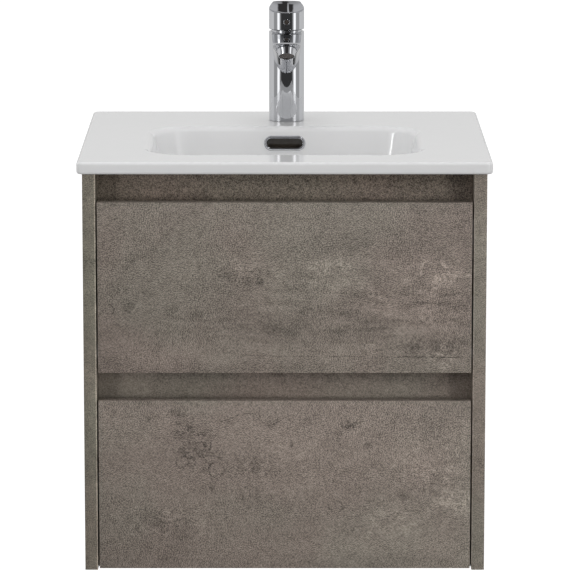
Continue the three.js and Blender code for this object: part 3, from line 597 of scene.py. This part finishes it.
def rounded_rect(a, b, r, cx, cy, z, per=24, long=18, short=10):
    """Rounded rectangle, anticlockwise from above, with straights divided too."""
    pts = []
    corners = [(a - r, b - r, 0), (-(a - r), b - r, 90), (-(a - r), -(b - r), 180), (a - r, -(b - r), 270)]
    for k, (x, y, t0) in enumerate(corners):
        for i in range(per):
            t = math.radians(t0 + 90 * i / (per - 1))
            pts.append((cx + x + r * math.cos(t), cy + y + r * math.sin(t), z))
        x2, y2, t2 = corners[(k + 1) % 4]
        e = pts[-1]
        s = (cx + x2 + r * math.cos(math.radians(t2)), cy + y2 + r * math.sin(math.radians(t2)), z)
        n = long if k % 2 == 0 else short
        for i in range(1, n):
            f = i / n
            pts.append((e[0] + (s[0] - e[0]) * f, e[1] + (s[1] - e[1]) * f, z))
    return pts


def slot_outline(half_w, half_h, per=20):
    c = half_w - half_h
    out = []
    for i in range(per + 1):
        t = -math.pi / 2 + math.pi * i / per
        out.append((c + half_h * math.cos(t), half_h * math.sin(t)))
    for i in range(per + 1):
        t = math.pi / 2 + math.pi * i / per
        out.append((-c + half_h * math.cos(t), half_h * math.sin(t)))
    return out


# ------------------------------------------------------------------ basin
BOWL_Y, BOWL_A, BOWL_B, BOWL_R = -273.5, 178.5, 131.5, 60.0


def bowl_ring(inset, z, grow=0.0):
    k = inset - grow
    return rounded_rect(BOWL_A - k, BOWL_B - k, max(BOWL_R - 0.75 * k, 12.0), 0.0, BOWL_Y, z)


def bowl_levels():
    out = []
    wall = math.radians(75)
    for i in range(15):
        p = wall * i / 14
        out.append((10 * (1 - math.cos(p)), 10 * math.sin(p)))
    d0, s0 = out[-1]
    for i in range(1, 9):
        d = d0 + (68 - d0) * i / 8
        out.append((d, s0 + (d - d0) / math.tan(wall)))
    d1, s1 = out[-1]
    for i in range(1, 15):
        p = wall + (math.radians(5) - wall) * i / 14
        out.append((d1 + 34 * (math.cos(p) - math.cos(wall)), s1 + 34 * (math.sin(wall) - math.sin(p))))
    return out


def basin():
    levels = bowl_levels()
    d_end, s_end = levels[-1]
    edge = bowl_ring(s_end, DECK - d_end)
    rings = []
    steps = 16
    for k in range(steps, 0, -1):
        f = k / steps
        ease = 0.45 * f + 0.55 * f * f * (3 - 2 * f)
        z = DECK - d_end - (104 - d_end) * ease
        ring = []
        for x, y, _ in edge:
            a = math.atan2(y - WASTE_Y, x)
            wx, wy = 33 * math.cos(a), WASTE_Y + 33 * math.sin(a)
            ring.append((x + (wx - x) * f, y + (wy - y) * f, z))
        rings.append(ring)
    rings += [bowl_ring(s, DECK - d) for d, s in reversed(levels)]
    rings.append(bowl_ring(0, DECK + 5))
    inside = mesh_object("basin_inside", *loft(rings))

    def slab(inset, z):
        return rounded_rect(257 - inset, 233 - inset, max(9.0 - inset, 0.8), 0, -233, z, 15, 2, 2)

    prof = [(3.0 - 2.9 * math.sin(t), 88.4 - 3.1 * math.cos(t)) for t in np.linspace(0.0, 1.4, 8)] + [(0.0, 89.2), (0.0, DECK - 4)]
    for i in range(1, 11):
        t = math.pi / 2 * i / 10
        prof.append((4 - 4 * math.cos(t), DECK - 4 + 4 * math.sin(t)))
    o = mesh_object("basin_glaze", *loft([slab(s, z) for s, z in prof]))
    shell = [
        (s, DECK - d - (9 if d > 80 else 3)) for d, s in levels[14:]
    ]
    outer = [bowl_ring(s, z, 8.5) for s, z in reversed(shell)]
    low = []
    for f in (1.0, 0.75, 0.5, 0.25):
        ring = []
        for x, y, z in outer[0]:
            a = math.atan2(y - WASTE_Y, x)
            wx, wy = 40 * math.cos(a), WASTE_Y + 40 * math.sin(a)
            ring.append((x + (wx - x) * f, y + (wy - y) * f, z + (DECK - 116 - z) * f))
        low.append(ring)
    outer = low + outer + [bowl_ring(12, DECK - 8, 9)]
    boolean(o, mesh_object("basin_outside", *loft(outer)), "UNION")
    boolean(o, block("duct", (-35, 35), (-172, -132), (down(78), TOP + 5)), "UNION")
    boss = [
        rounded_rect(30, 62, 20, 0, WASTE_Y + 40, down(109)),
        rounded_rect(34, 65, 20, 0, WASTE_Y + 43, down(106)),
        rounded_rect(35, 66, 20, 0, WASTE_Y + 44, down(101)),
        rounded_rect(35, 66, 20, 0, WASTE_Y + 64, down(76)),
    ]
    boolean(o, mesh_object("boss", *loft(boss)), "UNION")
    boolean(o, inside, "DIFFERENCE")
    sl = slot_outline(26.6, 8.7)
    cut = [(x, -175, DECK - 21.5 + z) for x, z in sl], [(x, -141, DECK - 21.5 + z) for x, z in sl]
    boolean(o, mesh_object("slot_cut", *loft(list(cut))), "DIFFERENCE")
    boolean(o, block("drop", (-26, 26), (-149.5, -141), (down(104), DECK - 23.5)), "DIFFERENCE")
    boolean(o, block("drain", (-14, 14), (WASTE_Y, -141), (down(104), down(98))), "DIFFERENCE")
    boolean(o, mesh_object("waste_cut", *lathe([(0, down(120)), (22.5, down(120)), (22.5, DECK - 50), (0, DECK - 50)], 96, 0, WASTE_Y)), "DIFFERENCE")
    boolean(o, mesh_object("tap_cut", *lathe([(0, TOP - 10), (17.5, TOP - 10), (17.5, DECK + 10), (0, DECK + 10)], 64, TAP[0], TAP[1])), "DIFFERENCE")
    return finish_piece(o, "cabinet", "glazed_ceramic", CERAMIC, "basin", angle=40)


basin()


def overflow_trim():
    """Slot-shaped chrome flange with a rounded face and a short sleeve, leaning with the bowl's rear wall."""
    # (offset from the opening's edge, height above the seat): sleeve, inner lip, narrow face, wide round shoulder
    prof = [(0.0, -11.0), (0.0, 0.7)] + [(1.3 - 1.3 * math.cos(t), 0.8 + 1.3 * math.sin(t)) for t in np.linspace(0.15, 1.57, 9)]
    prof += [(1.75, 2.1), (2.1, 1.95), (3.3, 0.55), (3.7, -0.05), (3.8, -0.8), (1.3, -0.8), (1.3, -11.0)]
    rings = []
    for off, h in prof:
        pts = slot_outline(23.5 + off, 6.2 + off, 32)
        level = math.tan(math.radians(15)) * max(-h, 0.0)
        rings.append([(x, -h, z + level) for x, z in pts])
    n = len(rings[0])
    verts = [p for r in rings for p in r]
    faces = []
    for k in range(len(rings)):
        kk = (k + 1) % len(rings)
        for i in range(n):
            j = (i + 1) % n
            faces.append((k * n + i, k * n + j, kk * n + j, kk * n + i))
    o = mesh_object("overflow_trim", verts, faces)
    # the CAD ring's seat is at y -157.9 and its face 2.2 mm in front
    o.data.transform(Matrix.Translation(Vector((0, -155.8, DECK - 21.3)) * MM) @ Matrix.Rotation(math.radians(-15), 4, "X"))
    return finish_piece(o, "cabinet", "chrome", CHROME, "overflow_ring", angle=40)


overflow_trim()

# ------------------------------------------------------------------ waste
FLOOR = DECK - 104


def waste():
    prof = [(18, down(150)), (20.5, down(150)), (20.5, FLOOR + 0.4), (31.5, FLOOR + 0.6), (31.5, FLOOR + 1.4)]
    prof += [(30.1 + 1.4 * math.cos(t), FLOOR + 1.6 + 1.4 * math.sin(t)) for t in np.linspace(0.2, 1.57, 6)]
    prof += [(19.0, FLOOR + 3), (18.3, FLOOR + 2.7), (18, FLOOR + 2.0)]
    o = mesh_object("waste_flange", *lathe(prof, 128, 0, WASTE_Y))
    outward(o)
    boolean(o, block("window", (-12, 12), (WASTE_Y + 8, WASTE_Y + 24), (down(103.5), down(98.5))), "DIFFERENCE")
    arm = block("arm", (-19, 19), (WASTE_Y - 4, WASTE_Y + 4), (down(128), down(123)))
    hub = mesh_object("hub", *lathe([(0, down(128)), (9, down(128)), (9, down(123)), (0, down(123))], 48, 0, WASTE_Y))
    boolean(arm, hub, "UNION")
    bore = mesh_object("bore", *lathe([(0, down(140)), (6.4, down(140)), (6.4, down(110)), (0, down(110))], 48, 0, WASTE_Y))
    boolean(arm, bore, "DIFFERENCE")
    boolean(o, arm, "UNION")
    finish_piece(o, "cabinet", "chrome", CHROME, "waste_body")
    plug = [(0, down(134)), (5.6, down(134)), (6, down(133.6)), (6, FLOOR + 3.4), (28.3, FLOOR + 3.4)]
    plug += [(28.3 + 1.2 * math.sin(t), FLOOR + 4.6 - 1.2 * math.cos(t)) for t in np.linspace(0.2, 1.57, 5)]
    plug += [(27.9 + 1.6 * math.cos(t), FLOOR + 4.8 + 1.6 * math.sin(t)) for t in np.linspace(0.15, 1.3, 5)]
    plug += [(r, FLOOR + 8.2 - 1.65 * (r / 27.5) ** 2) for r in (26, 23, 19, 14, 9, 4, 0)]
    o = mesh_object("waste_plug_dome", *lathe(plug, 128, 0, WASTE_Y))
    finish_piece(o, "plug", "chrome", CHROME, "waste_plug")


waste()

# ------------------------------------------------------------------ mixer
TAP_R, B, TAP_TOP = 23.1, 118.5, 155.8
TILT = math.radians(30.5)
REACH, EDGE_H = 108.0, 113.3
AT_TAP = Matrix.Translation(Vector(TAP) * MM)


def landing(reach):
    """Height of the flat under the spout's nose."""
    return EDGE_H - (REACH - reach) * math.tan(TILT)


OUTLET = (-93.5, landing(93.5))


def tilted(y, z, angle):
    return AT_TAP @ Matrix.Translation(Vector((0, y, z)) * MM) @ Matrix.Rotation(angle, 4, "X")


def soft_max(a, b, k):
    h = max(k - abs(a - b), 0.0) / k
    return max(a, b) + h * h * k * 0.25


def tap_body():
    prof = [(0, 0.3), (18.2, 0.3), (18.2, 2.1), (21.7, 2.1), (21.7, 0.3), (TAP_R - 0.4, 0.3)]
    prof += [(TAP_R - 0.4 + 0.4 * math.sin(t), 0.7 - 0.4 * math.cos(t)) for t in np.linspace(0.4, 1.57, 4)]
    prof += [(TAP_R, 30), (TAP_R, 60), (TAP_R, 90)]
    prof += [(TAP_R - 0.9 + 0.9 * math.cos(t), B - 0.9 + 0.9 * math.sin(t)) for t in np.linspace(0, 1.57, 7)]
    prof += [(0, B)]
    o = mesh_object("tap_column", *lathe(prof, 192))

    # the spout: crowned top, round underside that rises from the column, cut flat by the landing round the outlet
    low_table = ([6, 23.1, 34, 45, 60, 72, 84, 92, 98, 103, 106, 108], [56, 65, 71.1, 77, 85.2, 90.4, 95.2, 98.3, 100.6, 102.4, 103.6, 104.3])
    fit = np.polyfit(low_table[0], low_table[1], 4)
    reaches = [6, 13, 20, 26, 32, 38, 44, 50, 55, 60, 64, 68, 72, 76, 80, 84, 88, 91]
    reaches += [91 + (REACH - 91) * math.sin(math.radians(a)) for a in (12, 24, 35, 45, 54, 62, 69, 75, 80, 84, 87, 90)]
    rings = []
    for reach in reaches:
        if reach < 91:
            half = 20.6 - 1.0 * max(0.0, (reach - 30) / 61) ** 2
        else:
            half = 13.6 + 6.0 * math.sqrt(max(0.0, 1 - ((reach - 91) / (REACH - 91)) ** 2))
        top = B - 0.2 - 0.0006 * max(reach - TAP_R, 0.0) ** 2
        low = float(np.polyval(fit, reach))
        flat = landing(reach) if reach > 30 else -1e3
        e_pow = 1.0
        e = min(1.3, 0.45 * (top - max(low, flat)))
        ring = []
        for i in range(97):
            t = math.pi + math.pi * i / 96
            c = math.copysign(abs(math.cos(t)) ** e_pow, math.cos(t))
            z = top - e - (top - e - low) * abs(math.sin(t)) ** e_pow
            ring.append((half * c, -reach, min(soft_max(z, flat, 0.8), top - e)))
        for i in range(1, 6):
            t = math.pi / 2 * i / 6
            ring.append((half - e + e * math.cos(t), -reach, top - e + e * math.sin(t)))
        for i in range(17):
            x = (half - e) * (1 - 2 * i / 16)
            ring.append((x, -reach, top + 0.25 * (1 - (x / (half - e)) ** 2) * min(1.0, (REACH - reach) / 7)))
        for i in range(5, 0, -1):
            t = math.pi / 2 * i / 6
            ring.append((-(half - e) - e * math.cos(t), -reach, top - e + e * math.sin(t)))
        rings.append(ring)
    boolean(o, mesh_object("spout", *loft(rings)), "UNION")
    seat = mesh_object("seat", *lathe([(0, -5.4), (9.3, -5.4), (9.3, 2.6), (0, 2.6)], 96))
    seat.data.transform(Matrix.Translation(Vector((0, OUTLET[0], OUTLET[1])) * MM) @ Matrix.Rotation(-TILT, 4, "X"))
    boolean(o, seat, "DIFFERENCE")
    for r, z0, z1, x, y in ((17.9, B - 50, B - 8, 0, 0), (20.3, B - 8.2, B + 5, 0, 0), (5, -5, 14, -9, 3), (5, -5, 14, 9, 3), (4.4, -5, 22, 0, -10)):
        boolean(o, mesh_object("bore", *lathe([(0, z0), (r, z0), (r, z1), (0, z1)], 64, x, y)), "DIFFERENCE")
    o.data.transform(AT_TAP)
    return finish_piece(o, "cabinet", "chrome", CHROME, "tap_body", angle=26)


tap_body()


def regulator():
    L = 9.8
    ring = [(10.0, 1.5 - L), (10.0, 0.3 - L), (10.2, -L), (10.35, -L), (10.6, 0.3 - L), (11.2, 3.2 - L), (12.0, -2.2)]
    ring += [(12.3, -1.4), (12.3, -0.8), (12.1, -0.4), (9.0, -0.3), (9.0, 2.3), (8.0, 2.3), (8.0, 1.5 - L)]
    o = mesh_object("regulator_sleeve", *lathe(ring, 128))
    o.data.transform(tilted(OUTLET[0], OUTLET[1], -TILT))
    finish_piece(o, "cabinet", "chrome", CHROME, "flow_regulator", angle=30)
    verts, faces = lathe([(0, 0.7 - L), (3.0, 0.65 - L), (7.0, 0.75 - L), (9.8, 1.1 - L), (9.8, 1.45 - L), (0, 1.5 - L)], 96)
    s = mesh_object("regulator_screen", verts, faces)
    s.data.transform(tilted(OUTLET[0], OUTLET[1], -TILT))
    finish_piece(s, "cabinet", "chrome", SCREEN, angle=40)


regulator()


def handle_top(x, y):
    """Height of the handle's top over a point of its plan, above the deck: a dish, below a flat crescent at the rear."""
    rc, yc, zc, lateral = 29.5, -8.7, 170.3, 45.0
    mid = zc - math.sqrt(max(rc * rc - (y - yc) ** 2, 0.0))
    s = mid + lateral - math.sqrt(max(lateral * lateral - x * x, 1e-6))
    k = 0.5
    h = max(0.0, min(1.0, 0.5 + 0.5 * (TAP_TOP - s) / k))
    return TAP_TOP * (1 - h) + s * h - k * h * (1 - h)


def handle():
    z0 = B + 3
    seg, rad = 240, 72
    verts, faces = [], []

    def ring(r, f):
        i0 = len(verts)
        for i in range(seg):
            a = 2 * math.pi * i / seg
            x, y = r * math.cos(a), r * math.sin(a)
            verts.append((x, y, f(x, y)))
        return i0

    def under(x, y):
        return z0 + (max(y, 0.0) * math.tan(math.radians(27)))

    rows = []
    for j in range(1, rad + 1):
        rows.append(ring((TAP_R - 0.5) * j / rad, handle_top))
    for k in range(1, 6):
        t = math.pi / 2 * k / 5
        rows.append(ring(TAP_R - 0.5 + 0.5 * math.sin(t), lambda x, y, t=t: handle_top(x, y) - 0.5 * (1 - math.cos(t))))
    for f in [1 - i / 16 for i in range(1, 16)]:
        rows.append(ring(TAP_R, lambda x, y, f=f: under(x, y) + 0.6 + (handle_top(x, y) - 0.5 - under(x, y) - 0.6) * f))
    for k in range(0, 5):
        t = math.pi / 2 * k / 4
        rows.append(ring(TAP_R - 0.6 + 0.6 * math.cos(t), lambda x, y, t=t: under(x, y) + 0.6 * (1 - math.sin(t))))
    for j in range(11, 0, -1):
        rows.append(ring((TAP_R - 0.6) * j / 12, under))
    top = len(verts)
    verts.append((0, 0, handle_top(0, 0)))
    bottom = len(verts)
    verts.append((0, 0, z0))
    for i in range(seg):
        j = (i + 1) % seg
        faces.append((top, rows[0] + i, rows[0] + j))
        faces.append((bottom, rows[-1] + j, rows[-1] + i))
        for a, b in zip(rows, rows[1:]):
            faces.append((a + i, b + i, b + j, a + j))
    o = mesh_object("handle_cap", verts, faces)
    seat = mesh_object("seat", *lathe([(0, -4), (4.9, -4), (4.9, 6), (0, 6)], 64))
    seat.data.transform(Matrix.Translation(Vector((0, -TAP_R + 1.2, z0 + 10.5)) * MM) @ Matrix.Rotation(math.radians(90), 4, "X"))
    boolean(o, seat, "DIFFERENCE")
    o.data.transform(AT_TAP)
    finish_piece(o, "handle", "chrome", CHROME, "tap_handle", angle=38)
    # raised ring of the indicator, with a dark round centre
    prof = [(4.5, 0.0)] + [(3.85 + 0.65 * math.cos(t), 3.2 + 0.6 * math.sin(t)) for t in np.linspace(0.0, 3.14, 9)] + [(3.2, 2.6), (3.2, 0.0)]
    r = mesh_object("indicator_ring", *lathe(prof, 72))
    r.data.transform(AT_TAP @ Matrix.Translation(Vector((0, -18.9, z0 + 10.5)) * MM) @ Matrix.Rotation(math.radians(90), 4, "X"))
    finish_piece(r, "handle", "chrome", CHROME, "handle_indicator", angle=50)
    c = mesh_object("indicator_centre", *lathe([(0, 0), (3.15, 0), (3.15, 2.4), (2.4, 2.55), (0, 2.6)], 48))
    c.data.transform(AT_TAP @ Matrix.Translation(Vector((0, -18.9, z0 + 10.5)) * MM) @ Matrix.Rotation(math.radians(90), 4, "X"))
    finish_piece(c, "handle", "chrome", SCREEN, angle=50)


handle()

# ------------------------------------------------------------------ studio
def floor():
    seg = 64
    v = [(2.6 * math.cos(2 * math.pi * i / seg), 2.6 * math.sin(2 * math.pi * i / seg) + 0.2, -0.67) for i in range(seg)]
    o = mesh_object("studio_floor", v, [tuple(range(seg))], scale=1.0)
    m = bpy.data.materials.new("pale_floor")
    m.use_nodes = True
    g = Graph(m.node_tree)
    path = g.add("ShaderNodeLightPath").outputs["Is Camera Ray"]
    seen = g.add("ShaderNodeEmission", {"Color": (1, 1, 1, 1), "Strength": 1.1}).outputs[0]
    lit = g.add("ShaderNodeBsdfDiffuse", {"Color": (0.24, 0.24, 0.24, 1)}).outputs[0]
    mixed = g.add("ShaderNodeMixShader", {0: path, 1: lit, 2: seen}).outputs[0]
    clear = g.add("ShaderNodeBsdfTransparent").outputs[0]
    back = g.add("ShaderNodeNewGeometry").outputs["Backfacing"]
    both = g.add("ShaderNodeMixShader", {0: back, 1: mixed, 2: clear}).outputs[0]
    g.add("ShaderNodeOutputMaterial", {0: both})
    paint(o, m)
    o.visible_glossy = False


floor()

# The studio at the tap's height, the same to the left and the right: degrees away from straight behind the camera,
# and a neutral level. An unlit room behind the camera, a strip softbox, a grey wall, then the bright backdrop.
STUDIO = [(0, 0.05), (35, 0.05), (42, 0.40), (46, 0.40), (48, 1.6), (62, 1.6), (64, 0.45), (88, 0.40), (96, 0.80), (130, 0.75), (180, 0.50)]


def world():
    w = bpy.data.worlds.new("studio")
    bpy.context.scene.world = w
    w.use_nodes = True
    g = Graph(w.node_tree)
    d = g.add("ShaderNodeTexCoord").outputs["Generated"]
    s = g.add("ShaderNodeSeparateXYZ", {0: d})
    x, y, z = s.outputs
    az = g.m("DIVIDE", g.m("ARCTAN2", x, g.m("MULTIPLY", y, -1.0)), 2 * math.pi)
    az = g.m("ADD", az, 0.5)
    away = g.m("MULTIPLY", g.m("ABSOLUTE", g.m("SUBTRACT", az, 0.5)), 2.0)
    # a ramp's colours stop at 1, so the levels are stored at a third
    ring = g.ramp(away, [(a / 180, (level / 3,) * 3) for a, level in STUDIO])
    ring = g.scale_colour(ring, 3.0)
    el = g.m("ARCSINE", z)
    # the two bright uprights reach higher than the rest
    upright = g.rng(g.m("ABSOLUTE", g.m("SUBTRACT", g.m("ABSOLUTE", g.m("SUBTRACT", az, 0.5)), 55 / 360)), 9 / 360, 12 / 360, 1.0, 0.0)
    rear = g.rng(y, 0.45, 0.85, 0.0, 1.0)
    high = g.rng(
        el,
        g.m("SUBTRACT", g.m("ADD", g.m("MULTIPLY", upright, math.radians(21)), math.radians(7)), g.m("MULTIPLY", rear, math.radians(10))),
        g.m("SUBTRACT", g.m("ADD", g.m("MULTIPLY", upright, math.radians(16)), math.radians(24)), g.m("MULTIPLY", rear, math.radians(18))), 0.0, 1.0,
    )
    sky = g.mixc(g.rng(y, -0.55, 0.2, 0.0, 1.0), (0.36, 0.36, 0.365, 1), (0.60, 0.60, 0.61, 1))
    sky = g.mixc(g.m("MULTIPLY", rear, g.rng(el, math.radians(12), math.radians(26), 1.0, 0.0)), sky, (0.66, 0.66, 0.655, 1))
    # an unlit strip runs overhead from the camera's side to the wall, narrow in front of the zenith
    over = g.m("ARCTAN2", z, g.m("MULTIPLY", y, -1.0))
    across = g.m("ARCSINE", x)
    side = g.m("ABSOLUTE", g.m("SUBTRACT", across, math.radians(2.0)))
    width = g.rng(over, math.radians(68), math.radians(77), math.radians(5.5), math.radians(14))
    width = g.m("MULTIPLY", width, g.rng(over, math.radians(100), math.radians(135), 1.0, 0.78))
    width = g.m("MAXIMUM", width, g.rng(over, math.radians(44), math.radians(58), math.radians(21), 0.0))
    strip = g.rng(g.m("SUBTRACT", side, width), math.radians(-1.5), math.radians(2.0), 1.0, 0.0)
    strip = g.m("MULTIPLY", strip, g.rng(over, math.radians(130), math.radians(142), 1.0, 0.0))
    # a thin lit gap runs along it
    gap = g.rng(g.m("ABSOLUTE", g.m("ADD", across, math.radians(2.6))), math.radians(0.8), math.radians(1.8), 1.0, 0.0)
    gap = g.m("MULTIPLY", gap, g.rng(over, math.radians(58), math.radians(66), 0.0, 1.0))
    strip = g.m("MULTIPLY", strip, g.m("SUBTRACT", 1.0, gap))
    sky = g.mixc(strip, sky, (0.045, 0.042, 0.042, 1))
    col = g.mixc(high, ring, sky)
    low = g.rng(el, math.radians(-26), math.radians(-15), 1.0, 0.0)
    col = g.mixc(low, col, (0.06, 0.06, 0.06, 1))
    studio = g.add("ShaderNodeBackground", {"Color": col, "Strength": 1.0}).outputs[0]
    white = g.add("ShaderNodeBackground", {"Color": (1, 1, 1, 1), "Strength": 1.1}).outputs[0]
    path = g.add("ShaderNodeLightPath").outputs["Is Camera Ray"]
    mixed = g.add("ShaderNodeMixShader", {0: path, 1: studio, 2: white}).outputs[0]
    g.add("ShaderNodeOutputWorld", {0: mixed})
    w.cycles.sampling_method = "MANUAL"
    w.cycles.sample_map_resolution = 1024


world()


def area(name, place, target, size, power, colour=(1, 1, 1), glossy=True, diffuse=True):
    l = bpy.data.lights.new(name, "AREA")
    l.shape = "RECTANGLE"
    l.size, l.size_y = size
    l.energy = power
    l.color = colour
    o = bpy.data.objects.new(name, l)
    o.location = place
    o.rotation_euler = (Vector(target) - Vector(place)).to_track_quat("-Z", "Y").to_euler()
    o.visible_camera = False
    o.visible_glossy = glossy
    o.visible_diffuse = diffuse
    bpy.context.scene.collection.objects.link(o)
    return o


# compact lights low at either side of the camera, and a soft box overhead
area("key_right", (2.05, -2.75, 0.06), (0.1, -0.4, -0.1), (0.42, 0.5), 15.5, glossy=False)
area("key_left", (-2.0, -2.85, 0.10), (-0.1, -0.4, -0.1), (0.40, 0.6), 9.6, glossy=False)
area("overhead", (0.0, -0.40, 2.6), (0.0, -0.30, 0.0), (2.0, 1.4), 24.8, glossy=False)
area("front", (0.0, -3.1, 0.95), (0.0, -0.35, -0.1), (1.6, 1.2), 7.0, glossy=False)
area("front_left", (-1.45, -2.85, 1.45), (0.0, -0.35, -0.1), (0.9, 1.2), 5.0, glossy=False)
area("front_right", (1.45, -2.85, 1.45), (0.0, -0.35, -0.1), (0.9, 1.2), 5.6, glossy=False)

# two small ones that only glint in the glaze
area("glint_left", (-3.055, -2.103, 1.50), (0.14, -0.16, 0.08), (0.36, 0.62), 5.5, glossy=True, diffuse=False)
area("glint_right", (1.28, -2.41, 3.08), (-0.1285, -0.1524, 0.095), (0.6, 0.4), 8.0, glossy=True, diffuse=False)

cam = bpy.data.cameras.new("camera")
cam.lens = 253.76
cam.sensor_width = 36.0
cam.clip_start, cam.clip_end = 0.1, 100
cam_o = bpy.data.objects.new("camera", cam)
cam_o.location = (0.0004, -5.3562, 0.8337)
cam_o.rotation_euler = (math.radians(90 - 10.274), 0, 0)
bpy.context.scene.collection.objects.link(cam_o)
bpy.context.scene.camera = cam_o

vs = bpy.context.scene.view_settings
vs.view_transform = "Standard"
vs.look = "None"
vs.exposure = 0.0
vs.gamma = 1.0
bpy.context.scene.cycles.max_bounces = 10
bpy.context.scene.cycles.glossy_bounces = 6
bpy.context.scene.cycles.sample_clamp_indirect = 8.0
